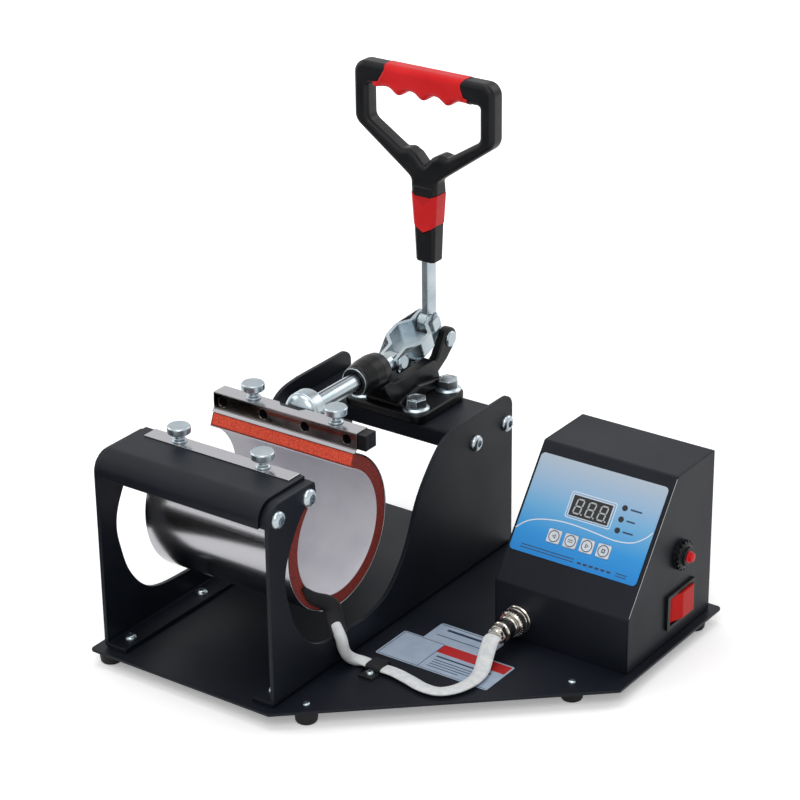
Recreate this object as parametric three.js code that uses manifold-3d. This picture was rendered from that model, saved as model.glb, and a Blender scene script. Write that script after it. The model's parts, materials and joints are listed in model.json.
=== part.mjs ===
// A mug heat press: a black sheet-metal frame holds a ring-shaped heater, and a toggle lever
// with a D-handle pushes the rear half of the ring towards the front half, round a mug.
// Millimetres, +Z up, the front towards -Y. The base plate's top is at height zero while the
// pieces are made, and x = 0 is the middle of the ring.
import * as THREE from "three";
import { mergeVertices } from "three/addons/utils/BufferGeometryUtils.js";
import Module from "manifold-3d";

const wasm = await Module();
wasm.setup();

// Clearances and overruns
const gap = 0.3;
const slack = 0.3;
const over = 1;
const weld = 1e-3;

// Base plate and feet
const baseThick = 2;
const baseLeft = 76.5;
const baseRight = 237.8;
const baseFront = 7.6;
const baseBehind = 6.6;
const baseCutX = 70.9;
const baseCutY = 141.2;
const baseCorner = 3;
const footRadius = 8;
const footHigh = 10;
const footEdge = 2;
const footAside = 12;
const footCutInset = 31.2;
const footScrewRadius = 2.6;
const footScrewHigh = 1.6;

// Side plates
const frameWide = 140;
const plateThick = 3;
const plateHigh = 139.5;
const shoulderHigh = 115;
const armLong = 48.5;
const armCorner = 13;
const armTip = 2;
const shoulderCorner = 9;
const flangeWide = 18;
const notchShares = [
  [0.181, 0.932], [0.123, 0.87], [0.072, 0.713], [0.057, 0.594], [0.067, 0.476], [0.092, 0.334],
  [0.141, 0.214], [0.205, 0.157], [0.324, 0.1405], [0.375, 0.14], [0.446, 0.179], [0.5, 0.268],
  [0.541, 0.381], [0.583, 0.561], [0.629, 0.682], [0.68, 0.777], [0.721, 0.812], [0.777, 0.824],
];
const notchSteps = 36;

// Rails between the plates
const railThick = 2;
const railCapShort = 5;
const railSkirt = 124;
const railProud = 1.5;
const rearRailTop = 102;
const rearRailLong = 53.5;
const rearRailDrop = 13;
const rearTabDrop = 15;

// Screws in the side plates
const screwHeadRadius = 5.85;
const screwHeadHigh = 3.4;
const screwHeadEdge = 1.2;
const screwHeadCrown = 4.2;
const hexKeyFloor = 1.4;
const screwRadius = 3;
const screwLong = 12;
const lowScrewInset = 9.1;
const lowScrewDrop = 10.2;
const highScrewInset = 7.9;
const highScrewDrop = 8.1;
const rearScrewInset = 7.8;
const rearScrewDrop = 7;
const hexKeyRadius = 2.3;

// Ring heater: its middle, its band and its pad
const ringY = 86;
const ringZ = 84;
const bandRadius = 52.6;
const bandThick = 0.8;
const padThick = 9.4;
const heaterLong = 116.6;
const frontEndAngle = 135;
const rearEndAngle = 67;
const splitAngle = 270;
const splitHalfAngle = 1;
const bandSplitHalfAngle = 0.35;
const arcStep = 6;
const frontStripLong = 12;

// Clamp bar behind the rear end of the band
const barDeep = 11.5;
const barHigh = 11;
const barBehind = 2;
const barAbove = 1.6;
const barLeft = 58;
const barRight = 65;
const barHoleRadius = 3.5;
const barHoleDeep = 4;
const barHoleInset = 7.8;
const barNotchHalf = 11;
const barNotchDeep = 3;

// Thumb screws
const thumbX = 33.7;
const thumbHeadRadius = 7.7;
const thumbHeadHigh = 5.6;
const thumbNeckRadius = 4.5;
const thumbNeckHigh = 5.8;
const thumbFootHigh = 2;
const thumbWaistRadius = 3.5;
const thumbWaistHigh = 3.6;
const thumbShankRadius = 2.4;
const thumbShankLong = 7;
const thumbEdge = 1;

// Plunger, its domed head and its sleeve
const plungerZ = 138;
const rodRadius = 6;
const headRadius = 13.5;
const headDome = 8;
const headRim = 9.4;
const headGap = 0.5;
const strokeRoom = 47.05;
const sleeveLong = 28.5;
const sleeveFrontRadius = 10;
const sleeveRadius = 12;
const sleeveLip = 2;

// Toggle: handle pivot, crank, link
const toggleRoom = 68.5;
const pivotBehind = 9.5;
const crankLong = 18.5;
const crankAngle = 50.5;
const linkLong = 42.2;
const pinRadius = 2.5;
const handlePinRadius = 3;
const pinHeadRadius = 6;
const pinHeadHigh = 1.5;
const linkWall = 2.5;
const linkHigh = 12;
const linkGapHalf = 5;
const linkBulge = 15;
const linkEndFlat = 5;
const linkSlope = 7;
const linkWeb = 2;
const tangHalf = 4.5;
const slotPlayLong = 2.2;
const slotPlayHigh = 0.9;
const leverThick = 5.3;
const leverWide = 10.6;
const leverBoss = 6.4;
const leverTop = 212;
const leverBefore = 8.4;

// Clamp body casting
const bodyHalf = 12.2;
const bodyDeck = 130;
const bodyFlangeHigh = 7;
const bodyFlangeHalf = 33;
const bodyFlangeCorner = 8;
const bodyFrontDrop = 8;
const bodyUnderSleeve = 18;
const earInner = 5;
const earOuter = 12;
const earRadius = 8;
const earHeelY = 266;
const earHeelZ = 117;
const deckRoom = 9;
const boltX = 22;
const boltFrontInset = 46.9;
const boltBackInset = 8.5;
const boltRadius = 4;
const boltFlangeRadius = 9.4;
const boltFlangeHigh = 1.6;
const boltFlangeEdge = 1;
const boltFlangeCrown = 7.5;
const boltAcross = 13;
const boltHeadHigh = 7.5;
const boltLong = 16;

// D-handle
const handleDeep = 14;
const handleHalf = 56.6;
const handleHigh = 85.5;
const handleNeckHalf = 14;
const neckHalf = 10;
const handleCorner = 9;
const armWide = 11.2;
const gripHigh = 16.6;
const handleShares = {
  neckTop: 0.122, windowVee: 0.226, windowHump: 0.34, shoulder: 0.505, windowLow: 0.527,
};
const windowHumpHalf = 16;
const windowVeeHalf = 8.8;
const windowCorner = 6;
const insertCoreHalf = 4;
const insertInset = 5.3;
const insertLean = 7.5;
const insertProud = 0.5;
const scallopPitch = 19.9;
const scallopDeep = 4.3;
const scallopMiddle = -0.8;
const scallopSteps = 32;
const cornerRound = 3;
const coreHalf = 6;
const coreDeep = 8;
const collarHigh = 28.6;
const collarLowHalf = 9;
const collarHalf = 10.6;
const collarDeep = 13.2;
const collarVee = 6;
const ferruleHigh = 21.4;
const ferruleOver = 15;
const ferruleLowHalf = 7.6;
const ferruleTopHalf = 8.8;
const ferruleDeep = 12.4;

// Control box
const boxLeft = 130;
const boxRight = 231.3;
const boxFront = 160;
const boxDeep = 106;
const boxHigh = 117.2;
const boxBend = 39;
const boxTopFront = 218.6;
const boxWall = 1.5;
const overlayThick = 0.6;
const overlayInset = 1.8;
const overlayLow = 22.4;
const overlayHigh = 89.1;
const overlayCorner = 3;
const displayLeft = 33;
const displayWide = 33.6;
const displayLow = 52.3;
const displayHigh = 18.2;
const displayProud = 0.8;
const displayCorner = 1;
const displayRim = 1.8;
const buttonFirst = 30.9;
const buttonPitch = 12.47;
const buttonCount = 4;
const buttonRow = 38;
const buttonWide = 10.3;
const buttonCorner = 2.2;
const buttonProud = 1.3;
const buttonDeep = 3.2;
const boardThick = 1.6;
const boardBehind = 9;
const boardInset = 10;
const standoffRadius = 3;
const coverThick = 1.5;

// Overheat reset on the right side
const resetY = 224.5;
const resetZ = 59;
const resetNutRadius = 10.5;
const resetNutHigh = 4.6;
const resetNutEdge = 3.2;
const resetNutCrown = 8.9;
const resetTipRadius = 4.15;
const resetOut = 9;
const resetInside = 10;

// Rocker switch on the right side
const rockerY = 225;
const rockerZ = 22.5;
const rockerFrameLong = 36;
const rockerFrameHigh = 25;
const rockerFrameProud = 2;
const rockerBodyLong = 32;
const rockerBodyHigh = 22;
const rockerBodyDeep = 16;
const rockerPocketDeep = 9;
const rockerLong = 28;
const rockerHigh = 19.4;
const rockerCrown = 3.6;
const rockerEnd = 1.6;
const rockerLow = 4;
const rockerTilt = -9;
const rockerRoomLong = 0.8;

// Mains inlet in the rear cover
const inletX = 200;
const inletZ = 26;
const inletWide = 28;
const inletHigh = 20.5;
const inletDeep = 20;
const inletFlange = 5;
const inletFlangeThick = 2.5;
const inletPocketWall = 2.4;
const inletPinLong = 9;
const inletPinWide = 2;
const inletPinPitch = 7;

// Heater lead: connector on the box, flat sleeved lead, clip and boot
const plugX = 149;
const plugZ = 15.5;
const socketFlange = 9.6;
const socketFlangeThick = 2.5;
const socketNose = 6;
const socketNoseLong = 6;
const socketTail = 6.5;
const socketTailLong = 6;
const ringNutRadius = 9;
const ringNutLong = 8;
const plugRadius = 7;
const plugLong = 11;
const glandRadius = 6;
const glandLong = 7;
const leadWide = 9.5;
const leadThick = 3.2;
const leadSteps = 44;
const leadByPlug = [
  [0, 130.3, 15.5], [0, 127, 15.2], [0.6, 122.5, 11.5], [2, 116.5, 6], [4.6, 109, 2.8],
  [6.6, 100, 2.1], [6.2, 89.5, 2.1],
];
const leadByPlate = [
  [81.6, 79.2, 2.1], [74.6, 72.2, 2.1], [64, 71, 2.1], [51.6, 73.8, 2.1], [39, 76.2, 2.1],
  [25.4, 76.1, 2.1], [14, 76.6, 2.1], [9, 74.6, 2.6], [5.8, 70.6, 6.4], [4.8, 67.2, 13],
  [4.5, 65.6, 20.4], [2, 65.8, 25], [-1.4, 67.6, 27.3],
];
const bootByPlate = [[-2.1, 68.2, 28.1], [-4, 70, 30.6]];
const bootByHeater = [[7.2, 71.2, 34.6], [6.2, 69.6, 39.6], [5.6, 65, 44.4], [5.4, 60, 48.6]];
const bootSteps = 10;
const bootWide = 15;
const bootThick = 8;
const clipOut = 25.4;
const clipWide = 11;
const clipThick = 1.4;
const clipTab = 8;
const clipRound = 1.5;

// Facets
const fineSides = 18;
const plainSides = 12;
const hexSides = 6;
const cordSides = 8;
const cornerSteps = 3;

const paint = { color: 0x1f2024, roughness: 0.55, metalness: 0.2 };
const zinc = { color: 0xb9bcc4, roughness: 0.35, metalness: 0.9 };
const stainless = { color: 0xc9ccd2, roughness: 0.25, metalness: 1 };
const castIron = { color: 0x26272b, roughness: 0.6, metalness: 0.4 };
const silicone = { color: 0x9a2f26, roughness: 0.7, metalness: 0 };
const blackPlastic = { color: 0x18181b, roughness: 0.45, metalness: 0 };
const redPlastic = { color: 0xdd2a2e, roughness: 0.4, metalness: 0 };
const panelFilm = { color: 0x3f97d8, roughness: 0.3, metalness: 0 };
const glassFibre = { color: 0xd8dcdc, roughness: 0.85, metalness: 0 };
const boardGreen = { color: 0x2c6b3f, roughness: 0.5, metalness: 0 };

const vec = (x, y, z) => new THREE.Vector3(x, y, z);
const rad = THREE.MathUtils.degToRad;
const acrossX = new THREE.Matrix4().makeBasis(vec(0, 1, 0), vec(0, 0, 1), vec(1, 0, 0));
const acrossY = new THREE.Matrix4().makeBasis(vec(1, 0, 0), vec(0, 0, 1), vec(0, -1, 0));
const upright = new THREE.Matrix4();

// A closed geometry as a solid with its faces pointing out.
function solid(geometry) {
  const plain = geometry.clone();
  plain.deleteAttribute("normal");
  plain.deleteAttribute("uv");
  const merged = mergeVertices(plain, weld);
  const corners = merged.index.array;
  const kept = [];
  for (let i = 0; i < corners.length; i += 3) {
    const [a, b, c] = [corners[i], corners[i + 1], corners[i + 2]];
    if (a !== b && b !== c && c !== a) kept.push([a, b, c]);
  }
  const vertProperties = new Float32Array(merged.attributes.position.array);
  const made = (list) =>
    new wasm.Manifold(
      new wasm.Mesh({ numProp: 3, vertProperties, triVerts: new Uint32Array(list.flat()) }),
    );
  const first = made(kept);
  return first.volume() < 0 ? made(kept.map(([a, b, c]) => [a, c, b])) : first;
}

function geometryOf(body) {
  const mesh = body.getMesh();
  const geometry = new THREE.BufferGeometry();
  geometry.setAttribute("position", new THREE.BufferAttribute(mesh.vertProperties, mesh.numProp));
  geometry.setIndex(new THREE.BufferAttribute(mesh.triVerts, 1));
  geometry.computeVertexNormals();
  return geometry;
}

const fuse = (first, ...rest) => rest.reduce((whole, piece) => whole.add(piece), first);
const cut = (first, ...rest) => rest.reduce((whole, piece) => whole.subtract(piece), first);

function extruded(points, from, to, basis) {
  const shape = new THREE.Shape(points.map(([a, b]) => new THREE.Vector2(a, b)));
  const geometry = new THREE.ExtrudeGeometry(shape, { depth: to - from, bevelEnabled: false });
  geometry.translate(0, 0, from);
  return solid(geometry.applyMatrix4(basis));
}

// Outlines in (y, z), (x, z) and (x, y), made thick between two places on the third axis.
const slabX = (points, x0, x1) => extruded(points, x0, x1, acrossX);
const slabY = (points, y0, y1) => extruded(points, -y1, -y0, acrossY);
const slabZ = (points, z0, z1) => extruded(points, z0, z1, upright);

function block([x0, x1], [y0, y1], [z0, z1]) {
  return slabZ([[x0, y0], [x1, y0], [x1, y1], [x0, y1]], z0, z1);
}

// A turned piece: its profile is [radius, distance along the axis], from the point at.
function turned(profile, axis, at, sides = fineSides) {
  const points = profile.map(([r, h]) => new THREE.Vector2(r, h));
  const geometry = new THREE.LatheGeometry(points, sides);
  if (axis === "z") geometry.rotateX(Math.PI / 2);
  if (axis === "x") geometry.rotateZ(-Math.PI / 2);
  geometry.translate(...at);
  return solid(geometry);
}

function rod(axis, at, from, to, radius, sides = plainSides) {
  return turned([[0, from], [radius, from], [radius, to], [0, to]], axis, at, sides);
}

function arc(y, z, radius, from, to, step = arcStep) {
  const count = Math.max(2, Math.round(Math.abs(to - from) / step));
  return Array.from({ length: count + 1 }, (_, i) => {
    const angle = rad(from + ((to - from) * i) / count);
    return [y + radius * Math.cos(angle), z + radius * Math.sin(angle)];
  });
}

// A polygon whose corners [a, b, radius] are rounded.
function rounded(corners) {
  return corners.flatMap(([a, b, radius], i) => {
    if (!radius) return [[a, b]];
    const here = new THREE.Vector2(a, b);
    const before = new THREE.Vector2(...corners.at(i - 1).slice(0, 2)).sub(here).normalize();
    const after = new THREE.Vector2(...corners[(i + 1) % corners.length].slice(0, 2)).sub(here);
    after.normalize();
    const half = Math.acos(THREE.MathUtils.clamp(before.dot(after), -1, 1)) / 2;
    const reach = radius / Math.tan(half);
    const bend = new THREE.QuadraticBezierCurve(
      before.multiplyScalar(reach).add(here),
      here,
      after.multiplyScalar(reach).add(here),
    );
    return bend.getPoints(cornerSteps).map((p) => [p.x, p.y]);
  });
}

const roundedBox = ([a0, a1], [b0, b1], radius) =>
  rounded([[a0, b0, radius], [a1, b0, radius], [a1, b1, radius], [a0, b1, radius]]);

// A strip of even thickness along an open line, made to the left of it.
function ribbon(points, thick) {
  const normals = points.slice(1).map(([a, b], i) => {
    const along = new THREE.Vector2(a - points[i][0], b - points[i][1]).normalize();
    return new THREE.Vector2(-along.y, along.x);
  });
  const shifted = points.map(([a, b], i) => {
    const first = normals[Math.max(i - 1, 0)];
    const second = normals[Math.min(i, normals.length - 1)];
    const mitre = first.clone().add(second).multiplyScalar(thick / (1 + first.dot(second)));
    return [a + mitre.x, b + mitre.y];
  });
  return [...points, ...shifted.reverse()];
}

const press = new THREE.Group();
press.name = "mug_heat_press";

function add(name, body, finish, group = press) {
  const mesh = new THREE.Mesh(geometryOf(body), new THREE.MeshStandardMaterial(finish));
  mesh.name = name;
  group.add(mesh);
}

const mirrorX = (body) => {
  const geometry = geometryOf(body);
  geometry.scale(-1, 1, 1);
  return solid(geometry);
};

// Places along the press, from the front to the back
const [rearEndY, rearEndZ] = arc(ringY, ringZ, bandRadius, rearEndAngle, rearEndAngle).at(0);
const barFront = rearEndY + barBehind;
const barBack = barFront + barDeep;
const headFront = barBack + headGap;
const headBack = headFront + headDome + headRim;
const sleeveFront = headBack + strokeRoom;
const sleeveBack = sleeveFront + sleeveLong;
const pivotY = sleeveBack + toggleRoom;
const plateLong = pivotY - pivotBehind;
const rearRailFront = plateLong - rearRailLong;
const leverMiddle = pivotY - leverBefore;
const boxBack = boxFront + boxDeep;
const baseBack = boxBack + baseBehind;

// Base plate with its cut corner, and the feet under it
const footPlaces = {
  foot_front_left: [-baseLeft + footRadius, footRadius / 2],
  foot_front_middle: [baseCutX + footAside, 2 * footRadius],
  foot_front_right: [baseRight - footCutInset, baseCutY - footRadius],
  foot_rear_left: [-baseLeft + footRadius, baseBack - 2 * footRadius],
  foot_rear_right: [baseRight - footAside, baseBack - 2 * footRadius],
};
const baseOutline = rounded([
  [-baseLeft, -baseFront, baseCorner],
  [baseCutX, -baseFront, baseCorner],
  [baseRight, baseCutY, baseCorner],
  [baseRight, baseBack, baseCorner],
  [-baseLeft, baseBack, baseCorner],
]);
let base = slabZ(baseOutline, -baseThick, 0);
const footScrew = [
  [0, -baseThick / 2], [footScrewRadius, -baseThick / 2], [footScrewRadius, 0],
  [footScrewRadius / 2, footScrewHigh], [0, footScrewHigh],
];
for (const name of ["foot_front_middle", "foot_front_right"]) {
  base = fuse(base, turned(footScrew, "z", [...footPlaces[name], 0], plainSides));
}
for (const [name, [x, y]] of Object.entries(footPlaces)) {
  const foot = turned([
    [0, -footHigh], [footRadius - footEdge, -footHigh], [footRadius, -footHigh + footEdge],
    [footRadius, 0], [0, 0],
  ], "z", [x, y, -baseThick]);
  add(name, foot, blackPlastic);
}
add("base_plate", base, paint);

// Side plates with their inward flanges
const halfWide = frameWide / 2;
const inside = halfWide - plateThick;
const rearScrewZ = rearRailTop - rearScrewDrop;
const rearScrews = [
  [rearRailFront + rearScrewInset, rearScrewZ],
  [plateLong - rearScrewInset, rearScrewZ],
];
const frontScrews = [
  [lowScrewInset, plateHigh - lowScrewDrop], [armLong - highScrewInset, plateHigh - highScrewDrop],
];
const plateScrews = [...frontScrews, ...rearScrews];
const notch = new THREE.SplineCurve(
  notchShares.map(([y, z]) => new THREE.Vector2(y * plateLong, z * plateHigh)),
).getPoints(notchSteps);
const plateOutline = [
  ...rounded([
    [plateLong, 0, 0],
    [0, 0, 0],
    [0, plateHigh, armCorner],
    [armLong, plateHigh, armTip],
  ]).slice(0, -1),
  ...notch.map((p) => [p.x, p.y]),
  ...arc(plateLong - shoulderCorner, shoulderHigh - shoulderCorner, shoulderCorner, 90, 0, 3 * arcStep),
];
let plate = slabX(plateOutline, inside, halfWide);
plate = fuse(plate, block([halfWide - flangeWide, inside + weld], [0, plateLong], [0, plateThick]));
for (const [y, z] of plateScrews) {
  plate = cut(plate, rod("x", [0, y, z], inside - over, halfWide + over, screwRadius + slack));
}
add("side_plate_right", plate, paint);
add("side_plate_left", mirrorX(plate), paint);

// Front rail: a cap sheet over an inner sheet with end tabs
const capTop = plateHigh + railProud;
const capCorner = armCorner;
const railLine = (top, inset) => [
  [armLong, top],
  ...arc(capCorner + inset, top - capCorner, capCorner, 90, 180, 2 * arcStep),
  [inset, railSkirt],
];
const tabIn = inside - gap;
const capSheet = slabX(ribbon(railLine(capTop, 0), railThick), -tabIn, inside - railCapShort);
const underSheet = slabX(
  ribbon(railLine(capTop - railThick + weld, railThick - weld), railThick), -tabIn, tabIn,
);
const tabOutline = [...railLine(capTop - railThick, railThick), [armLong - railThick, railSkirt]];
const screwHole = (y, z, from, to) => rod("x", [0, y, z], from, to, screwRadius + slack);
let frontRail = fuse(
  capSheet, underSheet,
  slabX(tabOutline, tabIn - railThick, tabIn), slabX(tabOutline, -tabIn, -tabIn + railThick),
);
for (const [y, z] of frontScrews) frontRail = cut(frontRail, screwHole(y, z, -halfWide, halfWide));
const thumbHole = (x, y, from, to) => rod("z", [x, y, 0], from, to, thumbShankRadius + slack);
const frontThumbY = armLong - frontStripLong / 2;
for (const x of [-thumbX, thumbX]) {
  frontRail = cut(frontRail, thumbHole(x, frontThumbY, railSkirt, capTop + over));
}
add("front_rail", frontRail, paint);

// Rear rail: a channel with end tabs
const channel = slabX(ribbon([
  [plateLong, rearRailTop - rearRailDrop],
  [plateLong, rearRailTop],
  [rearRailFront, rearRailTop],
  [rearRailFront, rearRailTop - rearRailDrop],
], railThick), -tabIn, tabIn);
const rearTab = (x0, x1) =>
  block([x0, x1], [rearRailFront, plateLong], [rearRailTop - rearTabDrop, rearRailTop]);
let rearRail = fuse(channel, rearTab(-tabIn, -tabIn + railThick), rearTab(tabIn - railThick, tabIn));
for (const [y, z] of rearScrews) rearRail = cut(rearRail, screwHole(y, z, -halfWide, halfWide));
const boltFrontY = plateLong - boltFrontInset;
const boltBackY = plateLong - boltBackInset;
const boltPlaces = [[-boltX, boltFrontY], [boltX, boltFrontY], [-boltX, boltBackY], [boltX, boltBackY]];
const boltHole = ([x, y]) =>
  rod("z", [x, y, 0], rearRailTop - railThick - over, rearRailTop + bodyFlangeHigh + over,
    boltRadius + slack);
rearRail = cut(rearRail, ...boltPlaces.map(boltHole));
add("rear_rail", rearRail, paint);

// Pan-head screws in the side plates
const panHead = turned([
  [0, -screwLong], [screwRadius, -screwLong], [screwRadius, 0], [screwHeadRadius, 0],
  [screwHeadRadius, screwHeadEdge], [screwHeadCrown, screwHeadHigh],
  [hexKeyRadius, screwHeadHigh], [hexKeyRadius, hexKeyFloor], [0, hexKeyFloor],
], "x", [0, 0, 0], plainSides);
const screwNames = ["front_low", "front_high", "rear_front", "rear_back"];
plateScrews.forEach(([y, z], i) => {
  const right = panHead.translate([halfWide, y, z]);
  add("rail_screw_right_" + screwNames[i], right, zinc);
  add("rail_screw_left_" + screwNames[i], mirrorX(right), zinc);
});

// Heater: a stainless band over a silicone pad, split at the bottom of the ring
const heaterHalf = heaterLong / 2;
const padOuter = bandRadius - bandThick - gap;
const padInner = padOuter - padThick;
const heaterCorner = bandThick * 2;
const frontEnd = arc(ringY, ringZ, bandRadius, frontEndAngle, splitAngle)[0];
const frontLine = [
  [armLong - frontStripLong, capTop],
  [armLong + gap, capTop],
  [armLong + gap, frontEnd[1] + heaterCorner],
  ...arc(ringY, ringZ, bandRadius, frontEndAngle, splitAngle - bandSplitHalfAngle),
];
const rearArc = arc(ringY, ringZ, bandRadius, splitAngle + bandSplitHalfAngle, 360 + rearEndAngle);
const barLow = rearEndZ + barAbove;
const barTop = barLow + barHigh;
const rearLine = [
  ...rearArc,
  [barFront - gap, barLow],
  [barFront - gap, barTop],
  [barBack - gap, barTop],
];
const across = (points) => slabX(points, -heaterHalf, heaterHalf);
const frontThumbs = [-thumbX, thumbX].map((x) => [x, frontThumbY]);
const rearThumbY = (barFront + barBack) / 2 + gap;
const barMiddle = (barRight - barLeft) / 2;
const rearThumbs = [-thumbX, thumbX].map((x) => [barMiddle + x, rearThumbY]);
const stripTop = barTop + bandThick;
const drilled = (body, places, from, to) =>
  cut(body, ...places.map(([x, y]) => thumbHole(x, y, from, to)));
let bandFront = across(ribbon(frontLine, bandThick));
bandFront = drilled(bandFront, frontThumbs, railSkirt, capTop + over + bandThick);
add("heater_band_front", bandFront, stainless);

const barHoleX = [-3, -1, 1, 3].map((n) => (n * (heaterHalf - barHoleInset)) / 3);
const barHoles = barHoleX.map((x) =>
  rod("y", [x, 0, (barLow + barTop) / 2], barFront - over - bandThick, barFront + barHoleDeep,
    barHoleRadius));
const headRoom = slabZ([
  [-barNotchHalf + barNotchDeep, barBack - barNotchDeep],
  [barNotchHalf - barNotchDeep, barBack - barNotchDeep],
  [barNotchHalf, barBack + over], [-barNotchHalf, barBack + over],
], barTop - gap, stripTop + over);
let bandRear = cut(across(ribbon(rearLine, bandThick)), ...barHoles, headRoom);
bandRear = drilled(bandRear, rearThumbs, barLow, stripTop + over);
add("heater_band_rear", bandRear, stainless);

const padOutline = (from, to) => [
  ...arc(ringY, ringZ, padOuter, from, to),
  ...arc(ringY, ringZ, padInner, to, from),
];
add("heater_pad_front", across(padOutline(frontEndAngle, splitAngle - splitHalfAngle)), silicone);
add("heater_pad_rear", across(padOutline(splitAngle + splitHalfAngle, 360 + rearEndAngle)), silicone);

// Clamp bar, with blind holes on its front face
let bar = cut(block([-barLeft, barRight], [barFront, barBack], [barLow, barTop - gap]), ...barHoles);
bar = drilled(bar, rearThumbs, barTop - thumbShankLong - over, barTop + over);
add("clamp_bar", bar, paint);

// Thumb screws that hold the ends of the band
const thumbTop = thumbNeckHigh + thumbHeadHigh;
const thumb = turned([
  [0, -thumbShankLong], [thumbShankRadius, -thumbShankLong], [thumbShankRadius, 0],
  [thumbNeckRadius, 0], [thumbNeckRadius, thumbFootHigh],
  [thumbWaistRadius, thumbWaistHigh], [thumbNeckRadius, thumbNeckHigh],
  [thumbHeadRadius, thumbNeckHigh + thumbEdge], [thumbHeadRadius, thumbTop - thumbEdge],
  [thumbHeadRadius - thumbEdge, thumbTop], [0, thumbTop],
], "z", [0, 0, 0]);
const moved = (body, ...place) => solid(geometryOf(body).translate(...place));
add("thumb_screw_front_left", moved(thumb, -thumbX, frontThumbY, capTop + bandThick), zinc);
add("thumb_screw_front_right", moved(thumb, thumbX, frontThumbY, capTop + bandThick), zinc);
add("thumb_screw_rear_left", moved(thumb, barMiddle - thumbX, rearThumbY, stripTop), zinc);
add("thumb_screw_rear_right", moved(thumb, barMiddle + thumbX, rearThumbY, stripTop), zinc);

// Toggle points: the handle's pivot, its crank pin and the pin in the plunger's tang
const crankY = pivotY - crankLong * Math.cos(rad(crankAngle));
const crankZ = plungerZ + crankLong * Math.sin(rad(crankAngle));
const linkAngle = Math.asin((crankZ - plungerZ) / linkLong);
const tangY = crankY - linkLong * Math.cos(linkAngle);

// Plunger: a domed head on a rod that ends in a slotted tang
const dome = Array.from({ length: cornerSteps + 2 }, (_, i) => {
  const angle = rad((90 * i) / (cornerSteps + 1));
  return [headRadius * Math.sin(angle), headFront + headDome * (1 - Math.cos(angle))];
});
add("plunger_head", turned([
  ...dome, [headRadius, headBack - thumbEdge], [headRadius - thumbEdge, headBack], [0, headBack],
], "y", [0, 0, plungerZ]), zinc);
const rodBack = tangY + rodRadius;
const tangFront = tangY - linkHigh / 2 - linkWall;
const slotHalf = pinRadius + slotPlayLong;
const slotRise = pinRadius + slotPlayHigh;
const cheek = (x0, x1) =>
  block([x0, x1], [tangFront, rodBack + over], [plungerZ - rodRadius - over, plungerZ + rodRadius + over]);
add("plunger_rod", cut(
  rod("y", [0, 0, plungerZ], headBack + gap, rodBack, rodRadius, fineSides),
  cheek(tangHalf, rodRadius + over), cheek(-rodRadius - over, -tangHalf),
  slabX(roundedBox([tangY - slotHalf, tangY + slotHalf], [plungerZ - slotRise, plungerZ + slotRise],
    slotRise / 2), -rodRadius, rodRadius),
), zinc);

// Clamp body: flange, deck, sleeve and the two ears of the fork
const flangeTop = rearRailTop + bodyFlangeHigh;
const flangeFront = boltFrontY - boltFlangeRadius - footEdge;
const deckBack = pivotY - deckRoom - sleeveLip - linkHigh / 2;
const earOutline = [
  [deckBack, bodyDeck - sleeveLip],
  ...arc(pivotY, plungerZ, earRadius, 180, -30, 3 * arcStep),
  [earHeelY, earHeelZ],
  [deckBack - deckRoom, flangeTop - sleeveLip],
];
const ear = slabX(earOutline, earInner, earOuter);
const bodyBlock = slabX([
  [flangeFront + bodyFrontDrop, flangeTop - sleeveLip],
  [sleeveFront + bodyUnderSleeve, bodyDeck - sleeveLip],
  [sleeveFront + bodyUnderSleeve, plungerZ],
  [sleeveBack, plungerZ],
  [sleeveBack, bodyDeck],
  [deckBack, bodyDeck],
  [plateLong - sleeveLip, flangeTop - sleeveLip],
], -bodyHalf, bodyHalf);
const sleeve = turned([
  [0, sleeveFront], [sleeveFrontRadius - sleeveLip / 2, sleeveFront],
  [sleeveFrontRadius, sleeveFront + sleeveLip / 2], [sleeveFrontRadius, sleeveFront + sleeveLip],
  [sleeveRadius, sleeveFront + sleeveRadius], [sleeveRadius, sleeveBack], [0, sleeveBack],
], "y", [0, 0, plungerZ]);
const bodyFlange = slabZ(
  roundedBox([-bodyFlangeHalf, bodyFlangeHalf], [flangeFront, plateLong], bodyFlangeCorner),
  rearRailTop, flangeTop,
);
add("clamp_body", cut(
  fuse(bodyFlange, bodyBlock, sleeve, ear, mirrorX(ear)),
  rod("y", [0, 0, plungerZ], sleeveFront - over, deckBack, rodRadius + slack, fineSides),
  rod("x", [0, pivotY, plungerZ], -earOuter - over, earOuter + over, handlePinRadius + slack),
  ...boltPlaces.map(boltHole),
), castIron);
const bolt = turned([
  [0, -boltLong], [boltRadius, -boltLong], [boltRadius, 0], [boltFlangeRadius, 0],
  [boltFlangeRadius, boltFlangeEdge], [boltFlangeCrown, boltFlangeHigh],
  [0, boltFlangeHigh],
], "z", [0, 0, 0]);
const hexHead = rod("z", [0, 0, 0], boltFlangeHigh - weld, boltFlangeHigh + boltHeadHigh,
  boltAcross / Math.sqrt(3), hexSides);
const clampBolt = fuse(bolt, hexHead);
const boltNames = ["front_left", "front_right", "rear_left", "rear_right"];
boltPlaces.forEach(([x, y], i) =>
  add("clamp_bolt_" + boltNames[i], moved(clampBolt, x, y, flangeTop), zinc));
add("handle_pin", fuse(
  rod("x", [0, pivotY, plungerZ], -earOuter - gap, earOuter + gap, handlePinRadius),
  rod("x", [0, pivotY, plungerZ], earOuter + gap, earOuter + gap + pinHeadHigh, pinHeadRadius),
  rod("x", [0, pivotY, plungerZ], -earOuter - gap - pinHeadHigh, -earOuter - gap, pinHeadRadius),
), zinc);

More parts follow.
